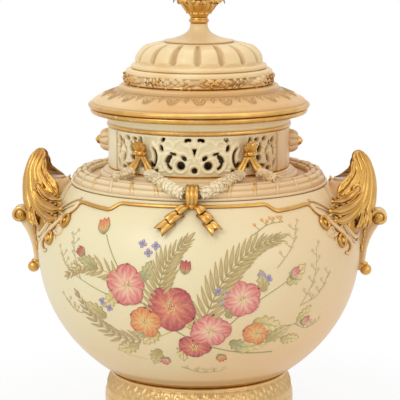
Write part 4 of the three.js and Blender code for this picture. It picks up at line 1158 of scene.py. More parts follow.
def makeFinial():
    base, top, radius = nodeSize("finial_ring")
    corners = [
        (0, base), (6.2, base), (6.5, base + 0.8, 0.2), (radius, base + 1.9, 0.5), (6.6, base + 2.9, 0.5),
        (6.3, top), (0, top),
    ]
    ring = turned(section(corners, 0.3, 1, joined=False), 96, joined=False)
    addPiece("finialRing", ring, gilding, "finial_ring", "cover")

    base, top, leafReach = nodeSize("finial_calyx")
    stalk, brim, root = finial["stalk"], finial["cup"], finial["leafRoot"]
    share = shares(36)
    radius = stalk + (brim - stalk) * np.sin(share * pi / 2) ** 1.15
    outer = np.stack([radius, base + (top - base - 1) * share ** 0.9], -1)
    path = np.concatenate([[[0, base]], outer, [[brim - 2, top - 0.6], [0, top - 0.8]]])
    lobes = lambda at: np.abs(np.cos(np.radians(at.angle * 6)))
    relief = lambda at: 0.9 * (lobes(at) - 0.4) * ramp(at.height, base + 1, base + 5) * (at.radius > 5)
    # painted shade in the valleys between the calyx's lobes
    recess = lambda at: clamp(1 - 2.4 * lobes(at)) * ramp(at.height, base + 1, base + 5) * 0.9
    shapes = [turned(path, 192, relief, {"recess": recess}, joined=False)]
    outline = np.array([(-1, 0), (-0.55, 0.22), (-0.12, 0.1), (0, 0.3), (0.12, 0.1), (0.55, 0.22), (1, 0), (0, -0.3)])
    for number in range(finial["leafCount"]):
        angle = (number + 0.5) * 360 / finial["leafCount"]
        reach = leafReach - 3.5 * (number % 2)
        share = shares(15)
        radius = root + (reach - root) * np.sin(share * pi / 2) ** 1.6
        height = base + 2.6 + (top - base - 2.4) * np.sin(share * pi * 0.58)
        height = height - finial["curl"] * ramp(share, 0.75, 1)
        line = polar(angle, radius, height)
        up = unit(polar(angle, np.cos(share * 1.9 - 0.2), np.sin(share * 1.9 - 0.2)))
        width = 3.1 * np.sin(pi * (0.22 + 0.74 * share)) ** 0.7
        # the leaves darken towards their curled tips
        tips = 0.6 * ramp(share, 0.7, 1)[:, None]
        shapes.append(swept(line, up, outline, width, {"recess": tips}))
    addPiece("finialCalyx", joinShapes(shapes), gilding, "finial_calyx", "cover")

    base, top, _ = nodeSize("finial_bud")
    share = shares(40)
    radius = finial["budRadius"] * clamp(np.sin(pi * (0.22 + 0.78 * share))) ** 0.9
    path = np.concatenate([[[0, base]], np.stack([radius, base + (top - base) * share], -1)])
    flutes = lambda at: np.abs(np.cos(np.radians(at.angle * finial["flutes"] / 2 + (at.height - base) * 4)))
    relief = lambda at: (0.7 * flutes(at) - 0.5) * clamp(at.radius / 9)
    # painted shade in the bud's flutes
    recess = lambda at: clamp(1 - 3 * flutes(at)) * (at.radius > 2)
    bud = turned(path, 120, relief, {"recess": recess}, joined=False)
    addPiece("finialBud", bud, gilding, "finial_bud", "cover")


makeFinial()


# Inner lid and its knob, under the cover
def makeInnerLid():
    base, top, edge = nodeSize("inner_lid")
    corners = [
        (0, base), (edge, base), (edge, base + 3, 0.2), (edge - 4, base + 4, 0.4), (edge * 0.45, top - 0.6, 0.3),
        (5.6, top), (0, top),
    ]
    gilt = lambda at: band(at.radius, edge - 5, edge - 3.4, 0.3) * (at.up > 0.2)
    shape = turned(section(corners, 0.6, 1, joined=False), 192, None, {"gilt": gilt}, joined=False)
    addPiece("innerLid", shape, bodyIvory, "inner_lid", "inner_lid")
    base, top, edge = nodeSize("inner_lid_knob")
    corners = [
        (0, base), (4.8, base), (3.6, base + 5.4, -0.6), (edge, base + 9.6, 0.8), (6.4, top - 1.6, 0.9), (0, top, 0.4),
    ]
    shape = turned(section(corners, 0.5, 1, joined=False), 96, joined=False)
    addPiece("innerLidKnob", shape, gilding, "inner_lid_knob", "inner_lid")


makeInnerLid()
print("finial and inner lid made")


# Garlands: a core wrapped in small leaves, thicker towards the strap
garland = {
    "radius": 3.9,
    "dropRadius": 3.3,
    "leafLength": 3.9,
    "leafWidth": 2.7,
    "leavesRound": 9,
    "ringSpacing": 1.9,
    "festoonStart": 27,
    "dropAngle": 40.5,
}
bandMiddle = (shoulder["bandOuter"] + shoulder["bandInner"]) / 2
bandTop = bandBase + shoulder["bandSlope"]
bandCrest = bandBase + shoulder["bandSlope"] / 2 + reeded["height"]


def leafyRoll(route, radius, swell):
    path = smoothPath(route, 60)
    length = np.linalg.norm(np.diff(path, axis=0), axis=1).sum()
    rings = int(length / garland["ringSpacing"])
    share = shares(len(path))
    fullness = clamp(0.6 + 5 * np.minimum(share, 1 - share)) * (1 + swell * share)
    along = heading(path)
    side = unit(np.cross([0, 0, 1], along))
    lift = np.cross(along, side)
    turn = fullTurn(12)
    circle = np.stack([np.cos(turn), np.sin(turn)], -1) * radius * 0.82
    # painted shade on the core where it shows between the leaves
    core = swept(path, lift, circle, fullness, {"recess": 0.5})
    origins, axes = [], []
    for ring in range(rings):
        at = (ring + 0.5) / rings * (len(path) - 1)
        k = int(at)
        for leaf in range(garland["leavesRound"]):
            spin = 2 * pi * (leaf + 0.5 * (ring % 2)) / garland["leavesRound"] + dice.uniform(-0.15, 0.15)
            out = side[k] * cos(spin) + lift[k] * sin(spin)
            way = unit(along[k] + 0.22 * out + dice.uniform(-0.9, 0.9) * np.cross(along[k], out))
            across = unit(np.cross(out, way))
            face = np.cross(way, across)
            size = dice.uniform(0.75, 1.25) * fullness[k]
            origins.append(path[k] + out * radius * 0.74 * fullness[k] - way * 1.2)
            axes.append(np.stack([way * garland["leafLength"], across * garland["leafWidth"], face * 1.5]) * size)
    leaves = stamped(leafShape(6, 5, 0.34), origins, np.array(axes))
    # painted shade between the leaves, kept light
    leaves["marks"]["recess"] = leaves["marks"]["recess"] * 0.45
    return joinShapes([core, leaves])


def onUrn(route, face, mirror):
    return np.array([polar(face + mirror * angle, radius, height) for angle, radius, height in route])


def makeGarlands():
    start, drop = garland["festoonStart"], garland["dropAngle"]
    side, neck, brink = collar["radius"], shoulder["collarBase"], shoulder["radius"]
    festoonRoute = [
        (start + 0.5, side + 4, bandTop + 10.8), (start, side + 4.6, bandTop + 9.6),
        (start - 4.3, neck + 3, bandTop + 8.4), (17, bandMiddle - 3.4, bandTop + 7.4),
        (10.8, bandMiddle + 5.4, bandCrest + 0.2), (3.2, brink + 1.4, bandTop - 0.2),
    ]
    dropRoute = [
        (drop - 0.4, side + 3.4, bandTop + 11.6), (drop, side + 5.4, bandTop + 10),
        (drop + 0.8, neck + 5.6, bandTop + 8), (drop + 1.6, bandMiddle + 0.8, bandCrest + 1.6),
    ]
    for quarter, face, mirror in quarters:
        shape = leafyRoll(onUrn(festoonRoute, face, mirror), garland["radius"], 0.22)
        addPiece(f"festoon_{quarter}_leaves", shape, garlandIvory, f"festoon_{quarter}", weld=False)
        shape = leafyRoll(onUrn(dropRoute, face, mirror), garland["dropRadius"], 0.12)
        addPiece(f"garlandDrop_{quarter}", shape, garlandIvory, f"garland_drop_{quarter}", weld=False)


# Ribbons: a fluted strip with a body, drawn along a path
def ribbonOutline(width, thickness, flutes, depth):
    x = np.linspace(-1, 1, 8 * flutes + 1)
    top = thickness / 2 + depth * np.abs(np.sin(pi * flutes * (x + 1) / 2)) * (1 - x ** 8)
    bottom = np.full(9, -thickness / 2)
    under = np.linspace(1, -1, 9)
    return np.concatenate([np.stack([x * width / 2, top], -1), np.stack([under * width / 2, bottom], -1)])


# painted shade in the ribbon's flutes and on its underside
def ribbonFluteShade(outline, depth):
    high = outline[:, 1].max()
    return np.where(outline[:, 1] > 0, clamp((high - outline[:, 1]) / depth) ** 1.5, 0.5) * 0.7


bow = {
    "angle": 33.4,
    "height": 16.6,
    "tailLength": 12.6,
    "tailSpread": 6.6,
    "knot": 2.9,
    "loops": [  # degrees from upright, length, width, how far it leans out
        (-38, 9.4, 5, 0.30), (-19, 10.4, 4.8, 0.34), (0, 10.8, 4.2, 0.26), (19, 10.4, 4.8, 0.34),
        (38, 9.4, 5, 0.30), (-86, 7, 4.4, 0.42), (86, 7, 4.4, 0.42),
    ],
}


def makeBows():
    tailOutline = ribbonOutline(5.6, 1.7, 2, 0.4)
    tailShade = ribbonFluteShade(tailOutline, 0.4)
    for quarter, face, mirror in quarters:
        def onCollar(*points):
            points = np.array(points)
            angle = face + mirror * (bow["angle"] + np.degrees(points[:, 0] / collar["radius"]))
            return polar(angle, collar["radius"] + 1.4 + points[:, 2], collarBottom + bow["height"] + points[:, 1])

        shapes = []
        out = polar(face + mirror * bow["angle"], 1, 0)
        aside = polar(face + mirror * (bow["angle"] + 90), 1, 0)
        root = onCollar((0, -0.8, 1.6))
        for tilt, length, width, raised in bow["loops"]:
            turn = radians(tilt)
            way = unit(aside * mirror * sin(turn) + np.array([0, 0, cos(turn)]) + out * raised)
            side = unit(np.cross(out, way))
            axes = np.stack([way * length, side * width, unit(np.cross(way, side)) * width * 1.15])
            petal = stamped(leafShape(11, 9, 0.34, 0.2), root, axes[None])
            along = clamp(((petal["points"] - root) @ way) / length)
            off = np.abs((petal["points"] - root) @ side) / width
            # painted shade near the knot, along each loop's edges and in its middle fold
            loopShade = 0.9 * (1 - ramp(along, 0, 0.35)) + 0.9 * ramp(off, 0.3, 0.48) + 0.55 * hump(off / 0.1)
            petal["marks"] = {"recess": clamp(loopShade)}
            shapes.append(petal)
        for way in (-1, 1):
            foot = radians(bow["tailSpread"]) * collar["radius"] * way
            end = -bow["tailLength"]
            tail = onCollar(
                (0, -0.6, 2), (foot * 0.32, end * 0.36, 2.2), (foot * 0.62, end * 0.68, 2.2), (foot, end, 3.2))
            wave = np.linspace(0.62, 1.1, 30) + 0.08 * np.sin(np.linspace(0, 9, 30))
            shapes.append(swept(smoothPath(tail, 30), out, tailOutline, wave, {"recess": tailShade}))
        shapes.append(moved(ballShape(bow["knot"], 12, 18, 0.8), *onCollar((0, -0.6, 3))[0]))
        addPiece(f"bowKnot_{quarter}", joinShapes(shapes), gilding, f"bow_{quarter}", weld=False)


strap = {
    "width": 9.2,
    "thickness": 3.4,
    "tailWidth": 7.6,
    "knot": 3.6,
    "spread": {"left": 1, "right": 0.8},  # the right tail hangs steeper
    "folds": [  # across and down from the lip, where each length of the tail starts and ends, and its widths
        ((1, -0.8), (9.6, 4.6), 0.55, 0.95), ((7, 4.2), (15.6, 10), 0.9, 1.04),
        ((13, 9), (22.2, 17), 0.98, 1.14),
    ],
}


def makeStraps():
    outline = ribbonOutline(strap["width"], strap["thickness"], 3, 0.75)
    shade = ribbonFluteShade(outline, 0.75)
    tailOutline = ribbonOutline(strap["tailWidth"], 1.5, 2, 0.5)
    tailShade = ribbonFluteShade(tailOutline, 0.5)
    brink = shoulder["radius"]
    route = [
        (0, bandMiddle + 4.3, bandTop + 3.6), (0, brink - 1.6, bandTop + 4.6), (0, brink + 2.2, bandTop + 3.6),
        (0, brink + 5, bandTop + 0.6), (0, brink + 5.6, bandTop - 3.6), (0, brink + 4.8, bandBase - 3.2),
    ]
    share = shares(26)
    for faceName, face in urnFaces.items():
        path = smoothPath(onUrn(route, face, 1), 40)
        up = np.cross(heading(path), polar(face + 90, 1, 0))
        up = up * np.sign(np.sum(up * polar(face, 1, 0.6), 1))[:, None]
        pinch = 1 - 0.16 * shares(40) ** 3
        knot = moved(ballShape(strap["knot"], 12, 20, 0.8), *polar(face, brink + 3.4, bandBase - 4.4))
        shape = joinShapes([swept(path, up, outline, pinch, {"recess": shade}), knot])
        addPiece(f"ribbonStrap_{faceName}", shape, gilding, f"ribbon_strap_{faceName}", weld=False)
        for hand, mirror in handSides.items():
            lengths = []
            for start, end, narrow, wide in strap["folds"]:
                across = (start[0] + (end[0] - start[0]) * share) * strap["spread"][hand]
                height = shoulderBottom - 3.2 - (start[1] + (end[1] - start[1]) * share)
                angle = face + mirror * np.degrees(across / bowlRadiusAt(height))
                lift = 1 + 2.4 * np.sin(share * 2.3) + 0.5 * share
                # painted shadow at the start of each length, under the one above, and darker tips
                foldShadow = (0.6 * (1 - ramp(share, 0, 0.4)))[:, None] + (0.35 * ramp(share, 0.9, 1))[:, None]
                width = narrow + (wide - narrow) * share
                lengths.append(alongBowl(angle, height, lift, tailOutline, width, {"recess": tailShade + foldShadow}))
            # The last length of the tail ends in a swallow's notch
            path = onBowl(angle, height, lift)
            back = unit(path[-2] - path[-1])
            depth = 4.2 * clamp(1 - np.abs(tailOutline[:, 0]) / (strap["tailWidth"] / 2))
            points = lengths[-1]["points"].reshape(26, -1, 3)
            for row in range(18, 26):
                points[row] += back * (depth * ((row - 17) / 8) ** 1.5)[:, None]
            tail = f"{faceName}_{hand}"
            addPiece(f"ribbonTail_{tail}", joinShapes(lengths), gilding, f"ribbon_tail_{tail}", weld=False)


makeGarlands()
makeBows()
makeStraps()
print("garlands and ribbons made")


# Gilt mouldings that frame the painted panel
panelFrame = {
    "width": 3.2,
    "relief": 1.3,
    "topAngle": 32,
    "earAngle": 53,
    "drop": 3,
    "step": 4.2,
}


def halfRound(width, relief, steps=9):
    turn = np.linspace(pi, 0, steps)
    arch = np.stack([np.cos(turn) * width / 2, np.sin(turn) * relief], -1)
    return np.concatenate([arch, [[width * 0.3, -0.7], [-width * 0.3, -0.7]]])


def makeFrames():
    low = shoulderBottom - 0.3
    top = low - panelFrame["drop"]
    under = top - panelFrame["step"]
    turnTop, ear = panelFrame["topAngle"], panelFrame["earAngle"]
    half = [
        (turnTop - 6, top), (turnTop - 1.2, top - 0.3), (turnTop + 2.4, under), (turnTop + 6, under - 0.2),
        ((turnTop + ear) / 2 + 3, under + 0.5), (ear - 2, under + 1), (ear + 0.4, under - 0.6),
        (ear + 0.8, under - 3.6),
    ]
    right = [(0, top), (12, top)] + half
    left = [(-angle, height) for angle, height in reversed(half)] + [(-12, top)]
    path = smoothPath(left + right, 420)
    outline = halfRound(panelFrame["width"], panelFrame["relief"])
    # painted shade along both edges of the moulding
    edges = np.where(np.abs(outline[:, 0]) > panelFrame["width"] * 0.36, 0.8, 0.12)
    for faceName, face in urnFaces.items():
        shape = alongBowl(path[:, 0] + face, path[:, 1], 0.15, outline, 1, {"recess": edges})
        addPiece(f"panelFrame_{faceName}", shape, gilding, f"panel_frame_{faceName}", weld=False)


# Scrollwork beside each handle: a peach bar with gilt edges that winds past two ringed eyes to a hook
frameScroll = {
    "bar": [
        (53.4, 166.4), (54, 162), (57.6, 156.6), (61, 150.2), (65, 143.4), (68.8, 137.4), (69.4, 132.2),
        (66.8, 129.4), (64, 130.6),
    ],
    "curl": [(60.4, 145), (57.4, 144), (55.4, 146.4), (56.4, 149.6), (59.2, 149.8), (59.6, 147.4)],
    "spur": [(62, 145.6), (59, 143), (58, 140.6)],
    "width": 5,
    "relief": 2.3,
    "upperEye": (55.4, 153.8, 3.8, 1.7),  # angle, height, ring radius, radius of the stud
    "lowerEye": (62.7, 139.6, 4, 2.1),
}


def makeFrameScrolls():
    wide = halfRound(frameScroll["width"], frameScroll["relief"], 13)
    slim = halfRound(2.4, 1.5)
    edgeGold = clamp((np.abs(wide[:, 0]) / frameScroll["width"] - 0.33) * 12)
    turn = fullTurn(40)
    share = shares(60)
    taper = 0.62 + 0.38 * hump((share - 0.42) / 0.75) - 0.3 * ramp(share, 0.8, 1)
    for quarter, face, mirror in quarters:
        def bar(route, outline, scale, marks):
            path = smoothPath(route, 60)
            return alongBowl(face + mirror * path[:, 0], path[:, 1], 0.1, outline, scale, marks)

        peach = [
            # the bar's gilt edges are also darkened as painted shade
            bar(frameScroll["bar"], wide, taper, {"gilt": edgeGold, "recess": edgeGold * 0.7, "blush": 0.3}),
            bar(frameScroll["curl"], slim, 1.1 - 0.5 * share, {"blush": 0.2, "recess": 0.1}),
        ]
        gold = [bar(frameScroll["spur"], slim, 0.7 - 0.5 * share, {"recess": 0.35})]
        for angle, height, ringRadius, stud in (frameScroll["upperEye"], frameScroll["lowerEye"]):
            aside = angle + np.degrees(ringRadius * 1.12 * np.cos(turn) / bowl["radius"])
            level = height + ringRadius * np.sin(turn)
            ring = halfRound(2.5, 2.1)
            gold.append(alongBowl(face + mirror * aside, level, 0.5, ring, 1, {"recess": 0.3}, joined=True))
            gold.append(moved(ballShape(stud, 10, 16), *onBowl(face + mirror * angle, height, 1)))
        name = f"frameScroll_{quarter}"
        addPiece(name, joinShapes(gold), gilding, f"frame_scroll_{quarter}", weld=False)
        addPiece(f"{name}_bars", joinShapes(peach), warmBlush, weld=False)


makeFrames()
makeFrameScrolls()


# Painted sprays, thin as enamel: places are millimetres right of the front's middle line and up from the
# widest height
spray = {
    "tones": {  # at the root, at the tip, and along the edge
        "rose": ((0.90, 0.60, 0.40), (0.70, 0.16, 0.15), (0.36, 0.03, 0.04)),
        "deepRose": ((0.78, 0.30, 0.14), (0.46, 0.04, 0.06), (0.26, 0.02, 0.03)),
        "flame": ((0.84, 0.56, 0.20), (0.72, 0.20, 0.05), (0.40, 0.08, 0.02)),
        "palm": ((0.40, 0.30, 0.09), (0.72, 0.59, 0.27), (0.36, 0.24, 0.07)),
        "ochre": ((0.56, 0.46, 0.14), (0.84, 0.69, 0.33), (0.38, 0.22, 0.07)),
        "green": ((0.30, 0.29, 0.10), (0.64, 0.58, 0.28), (0.24, 0.19, 0.06)),
        "violet": ((0.24, 0.20, 0.38), (0.50, 0.42, 0.58), (0.20, 0.15, 0.28)),
        "sketch": ((0.48, 0.36, 0.17), (0.66, 0.52, 0.28), (0.36, 0.24, 0.10)),
        "berry": ((0.62, 0.22, 0.04), (0.80, 0.42, 0.10), (0.40, 0.13, 0.03)),
    },
    "outline": 0.42,  # width of the edge line, in mm
    "lift": 0.3,
}


def paintPlace(x, y, anchorX, anchorY, lift):
    level = np.interp(anchorY, surfaceLengths, surfaceHeights)
    across = anchorX + (x - anchorX) * bowl["radius"] / bowlRadiusAt(level)
    return fromSurface(across, y, lift)


def blade(x, y, length, width, tilt, tone, form="leaf", bend=0, order=0):
    rows, columns = (21, 19) if form == "petal" else (15, 11)
    u = shares(rows)[:, None]
    if form == "leaf":
        half = 0.5 * width * np.sin(pi * np.clip(u, 0.01, 0.985) ** 0.85) ** 0.85
    elif form == "petal":
        end = np.clip(1 - ((u - 0.6) / 0.4).clip(0, 1) ** 2.4, 0.02, 1)
        half = 0.5 * width * np.clip(u * 1.9, 0.12, 1) ** 0.8 * np.sqrt(end)
    else:
        half = 0.5 * width * np.sin(pi * np.clip(u, 0.01, 0.985) ** 0.8) ** 0.7 * (1 + 0.28 * np.sin(u * 26))
    v = np.concatenate([[-1], np.linspace(-0.84, 0.84, columns - 2), [1]])[None, :]
    along, aside = length * u + 0 * v, half * v
    notch = length * (0.07 * hump(v / 0.4) + 0.05 * np.sin(v * 11 + tilt)) * u ** 5 if form == "petal" else 0
    along = along - notch
    aside = aside + bend * u ** 2
    turn = radians(tilt)
    px = x + along * cos(turn) - aside * sin(turn)
    py = y + along * sin(turn) + aside * cos(turn)
    lift = spray["lift"] + 0.05 * order + 0.16 * (1 - v ** 2) * np.sin(pi * np.clip(u, 0.05, 1)) + 0 * u
    top = paintPlace(px, py, x, y, lift)
    under = paintPlace(px[:, ::-1], py[:, ::-1], x, y, -0.3)
    root, tip, edge = (np.array(value) for value in spray["tones"][tone])
    fade = clamp(u * 1.1 + 0.18 * np.sin(v * 9 + u * 7))[..., None] + 0 * v[..., None]
    colour = root + (tip - root) * fade
    line = clamp(1 - (half * (1 - np.abs(v)) - spray["outline"]) / 0.3) * 0.85
    rib = 0.75 * hump(v * half / 0.4) * (u < 0.93) * (form != "petal")
    if form == "petal":
        veins = 0.42 * hump(((v * 2.6 + 0.5) % 1 - 0.5) / 0.3) * ramp(u, 0.1, 0.7)
    else:
        veins = 0.4 * hump((np.abs(v) * 0.9 - u * 5) % 1 / 0.3 - 1)
    shade = clamp(np.maximum(np.maximum(line, rib), veins))[..., None]
    colour = colour * (1 - shade) + edge * shade
    paint = np.concatenate([colour, np.broadcast_to(edge, (rows, columns, 3))], 1)
    paint = np.concatenate([paint, np.ones(paint.shape[:2] + (1,))], -1)
    return gridShape(np.concatenate([top, under], 1), {"paint": paint})


def painted(shape, colour):
    return {**shape, "marks": {"paint": np.tile(np.append(colour, 1), (len(shape["points"]), 1))}}


def stem(route, width, tone):
    path = smoothPath(route, 12 * len(route))
    angle = np.degrees(path[:, 0] / bowl["radius"])
    height = np.interp(path[:, 1], surfaceLengths, surfaceHeights)
    shape = alongBowl(angle, height, 0, halfRound(width, 0.34, 5), np.linspace(1, 0.6, len(path)))
    return painted(shape, spray["tones"][tone][0]), path


def surfaceNormal(x, y):
    return unit(fromSurface(x, y, 1) - fromSurface(x, y, 0))


def dot(x, y, radius, tone, tipShare=0.6):
    ball = ballShape(1, 6, 10)
    root, tip = (np.array(value) for value in spray["tones"][tone][:2])
    points, normal = ball["points"] * radius, surfaceNormal(x, y)
    points = points - normal * (points @ normal)[:, None] * 0.6 + fromSurface(x, y, 0.1)
    return painted({**ball, "points": points}, root + (tip - root) * tipShare)


def rose(x, y, size, tilt, tone):
    shapes = []
    for number in range(5):
        turn = tilt + number * 72 + dice.uniform(-6, 6)
        length = size * dice.uniform(0.9, 1.08)
        width = size * dice.uniform(1, 1.15)
        shapes.append(blade(x, y, length, width, turn, tone, "petal", dice.uniform(-0.1, 0.1) * size, number))
    for number in range(11):
        turn, reach = number * 2.4, size * (0.1 + 0.018 * number)
        grain = dot(x + reach * cos(turn), y + reach * sin(turn), 0.62, "ochre")
        shapes.append(moved(grain, *surfaceNormal(x, y) * 0.6))
    return shapes


def bud(x, y, size, tilt, tone):
    shapes = []
    for order, side in enumerate((-1, 1, 0)):
        shapes.append(blade(x, y, size, size * 0.5, tilt + side * 16, tone, order=order))
    for side in (-1, 1):
        shapes.append(blade(x, y, size * 0.6, size * 0.2, tilt + side * 34, "green", bend=side, order=3))
    return shapes


def pathTilt(start, end):
    return degrees(atan2(end[1] - start[1], end[0] - start[0]))


# A willow branch: slender leaves in pairs along an arching stem
def branch(route, count, length, tone, spreadAngle=46, width=0.19):
    line, path = stem(route, 1, tone)
    shapes = [line]
    for number in range(count):
        share = 0.08 + 0.9 * number / (count - 1)
        k = min(int(share * (len(path) - 1)), len(path) - 2)
        way = pathTilt(path[k], path[k + 1])
        size = length * (0.55 + 0.45 * sin(pi * min(1, share * 0.9 + 0.2))) * dice.uniform(0.9, 1.1)
        for side in (-1, 1):
            lean = way + side * spreadAngle * (1 - 0.45 * share)
            bend = -side * size * 0.12
            shapes.append(blade(*path[k], size, size * width, lean, tone, "leaf", bend, number % 2))
    return shapes + [blade(*path[-1], length * 0.6, length * width, pathTilt(path[-3], path[-1]), tone)]


def berrySprig(route, side, tone, berry, count):
    line, path = stem(route, 0.8, tone)
    shapes = [line]
    for number in range(count):
        k = int((0.25 + 0.75 * number / (count - 1)) * (len(path) - 1))
        way = side if number % 2 else -side
        x, y = path[k]
        shapes.append(stem([(x, y), (x + way * 2, y + 1.6), (x + way * 3.4, y + 3.4)], 0.6, tone)[0])
        shapes.append(dot(x + way * 3.6, y + 4, 1.25, berry))
    return shapes


def blossom(x, y, size, tilt):
    shapes = [dot(x, y, 0.7, "ochre", 0.9)]
    for number in range(4):
        turn = tilt + number * 90
        shapes.append(blade(x, y, size, size * 0.8, turn, "violet", "petal", order=number % 2))
    return shapes[1:] + shapes[:1]


def frontSpray():
    shapes = []
    for route, width, tone in (
            ([(70, -64), (44, -62), (14, -54), (-12, -40), (-34, -20), (-52, 4), (-66, 26)], 1.3, "green"),
            ([(14, -54), (28, -36), (46, -20), (70, -6)], 1.1, "green"),
            ([(-12, -40), (-36, -50), (-62, -46)], 1, "ochre"),
            ([(-34, -20), (-62, -16), (-86, -8)], 0.9, "green"),
            ([(-24, -30), (-60, -62), (-40, -70)], 0.8, "ochre"),
            ([(44, -62), (62, -46), (84, -40)], 0.9, "green")):
        shapes.append(stem(route, width, tone)[0])
    shapes += branch([(6, -46), (14, -20), (26, 2), (44, 18), (64, 24)], 19, 19, "palm", 50, 0.15)
    shapes += branch([(-22, -34), (-22, -10), (-16, 10), (-4, 24)], 15, 17, "palm", 54, 0.16)
    shapes += branch([(-34, -20), (-56, -2), (-80, 2), (-98, -6)], 13, 13, "ochre", 54, 0.17)
    shapes += branch([(-36, -50), (-58, -50), (-78, -38), (-90, -22)], 12, 12, "sketch", 54, 0.2)
    for x, y, length, tilt, tone in (
            (46, -34, 24, -20, "ochre"), (34, -56, 24, 0, "ochre"), (60, -52, 20, 30, "palm"),
            (-44, -56, 20, 196, "ochre"), (-26, -58, 18, 240, "palm"), (-66, -34, 20, 150, "palm"),
            (70, -8, 20, 34, "ochre"), (-70, 2, 18, 158, "green"), (-24, -42, 18, 216, "ochre"),
            (-30, -44, 15, 176, "green"), (2, -38, 18, 128, "ochre"), (26, -30, 18, 62, "green"),
            (30, -50, 18, -34, "green"), (-6, -52, 17, 262, "ochre"), (-52, -14, 19, 214, "ochre"),
            (-34, -4, 16, 60, "green"), (52, -12, 16, 96, "palm"), (74, -52, 17, -12, "ochre"),
            (84, -38, 15, 40, "ochre")):
        shapes += [blade(x, y, length, length * 0.5, tilt, tone, "lobed", 1.5)]
    for x, y, size, tilt, tone in (
            (-46, -8, 15, 20, "rose"), (-14, -22, 17, 50, "deepRose"), (14, -40, 14, 5, "rose"),
            (-34, -34, 12, 80, "flame"),
            (36, -16, 13, 40, "rose"), (2, -54, 11, 66, "deepRose"), (50, -44, 10, 12, "flame")):
        shapes += rose(x, y, size, tilt, tone)
    for x, y, size, tilt, tone in (
            (-68, 26, 13, 112, "flame"), (-82, 10, 9, 160, "deepRose"), (72, -4, 11, 26, "rose"),
            (-20, -66, 9, 236, "rose"), (-4, 2, 10, 84, "deepRose"), (22, -62, 9, 300, "flame"),
            (88, -40, 9, 10, "rose")):
        shapes += bud(x, y, size, tilt, tone)
    for x, y in (
            (22, -18), (26, -12), (19, -10), (29, -20), (-30, 16), (-25, 21), (-35, 22), (50, 0), (55, -3),
            (-62, -26), (-67, -22)):
        shapes += blossom(x, y, 3, dice.uniform(0, 90))
    for route, side in (
            ([(-86, -8), (-92, 8), (-98, 22)], 1), ([(-86, -8), (-100, -2), (-108, 8)], -1),
            ([(84, -26), (94, -8), (98, 14)], 1), ([(84, -26), (100, -20), (110, -6)], -1),
            ([(82, -40), (96, -46), (106, -44)], 1), ([(-10, -76), (8, -83), (26, -82)], 1),
            ([(62, 4), (76, 18), (84, 32)], 1), ([(-86, -34), (-98, -34), (-106, -26)], -1)):
        shapes += berrySprig(route, side, "sketch", "sketch", 8)
    shapes += berrySprig([(46, 28), (60, 35), (74, 36)], 1, "palm", "berry", 7)
    return shapes


def backSpray():
    shapes = [stem([(-40, -50), (-18, -30), (4, -8), (26, 8)], 1.1, "green")[0]]
    shapes += branch([(-14, -28), (-30, -6), (-34, 14)], 9, 15, "palm")
    for x, y, size, tilt, tone in ((4, -8, 14, 10, "rose"), (-20, -34, 11, 60, "deepRose")):
        shapes += rose(x, y, size, tilt, tone)
    shapes += bud(28, 10, 10, 30, "rose")
    for x, y, length, tilt in ((14, -22, 18, -30), (-4, -40, 16, -60)):
        shapes += [blade(x, y, length, length * 0.5, tilt, "ochre", "lobed", 1)]
    return shapes + berrySprig([(10, -36), (30, -34), (46, -22)], 1, "sketch", "berry", 6)


def makeSprays():
    for faceName, shapes, side in (("front", frontSpray(), 1), ("back", backSpray(), -1)):
        addPiece(f"paintedSpray_{faceName}", turnedBack(joinShapes(shapes), side), enamel, weld=False)


makeSprays()
print("sprays painted")


# Side bosses: a petalled rosette with a gilt stud
boss = {
    "radius": 8.2,
    "height": 7,
    "stud": 3.6,
    "studLength": 4.4,
    "petals": 8,
}


def makeBosses():
    base = collarReach - 0.4
    level = collarBottom + (collarTop - collarBottom) * 0.62
    share = shares(26)
    radius = boss["radius"] * np.cos(share * pi / 2) ** 0.55
    path = np.stack([np.maximum(radius, 0), boss["height"] * np.sin(share * pi / 2) ** 1.2], -1)
    sole = [[0, -1.5], [boss["radius"] * 0.86, -1.5]]
    path = np.concatenate([sole, path[path[:, 0] > 1], [[0, boss["height"]]]])
    petals = lambda at: np.abs(np.cos(np.radians(at.angle * boss["petals"] / 2)))

    def relief(at):
        ringGroove = hump((at.radius - 4.6) / 0.7)
        return ((petals(at) - 0.6) * 1.3 * (at.radius > 4.2) - 0.5 * ringGroove) * (at.height > 0)

    # painted shade in the valleys between the petals and in the ring groove
    def recess(at):
        valley = clamp(1 - 2.2 * petals(at)) * (at.radius > 4.2)
        return (0.8 * valley + 0.7 * hump((at.radius - 4.5) / 0.8)) * (at.height > 0)

    rosette = turned(path, 144, relief, {"recess": recess, "blush": 0.25}, joined=False)
    stud, tip = boss["stud"], boss["studLength"]
    corners = [(0, 0), (stud, 0.2), (stud * 0.86, 1.6, 0.4), (1.1, tip - 0.9, 0.5), (0, tip)]
    stud = moved(turned(section(corners, 0.4, 1, joined=False), 48, joined=False), 0, 0, boss["height"] - 1)
    for hand, side in handSides.items():
        for name, shape, finish, node in (
                ("Rosette", rosette, warmBlush, f"side_boss_{hand}"), ("Stud", stud, gilding, None)):
            x, y, z = shape["points"].T
            points = np.stack([side * (base + z), side * x, level + y], -1)
            addPiece(f"boss{name}_{hand}", {**shape, "points": points}, finish, node)


makeBosses()
print("frames and bosses made")


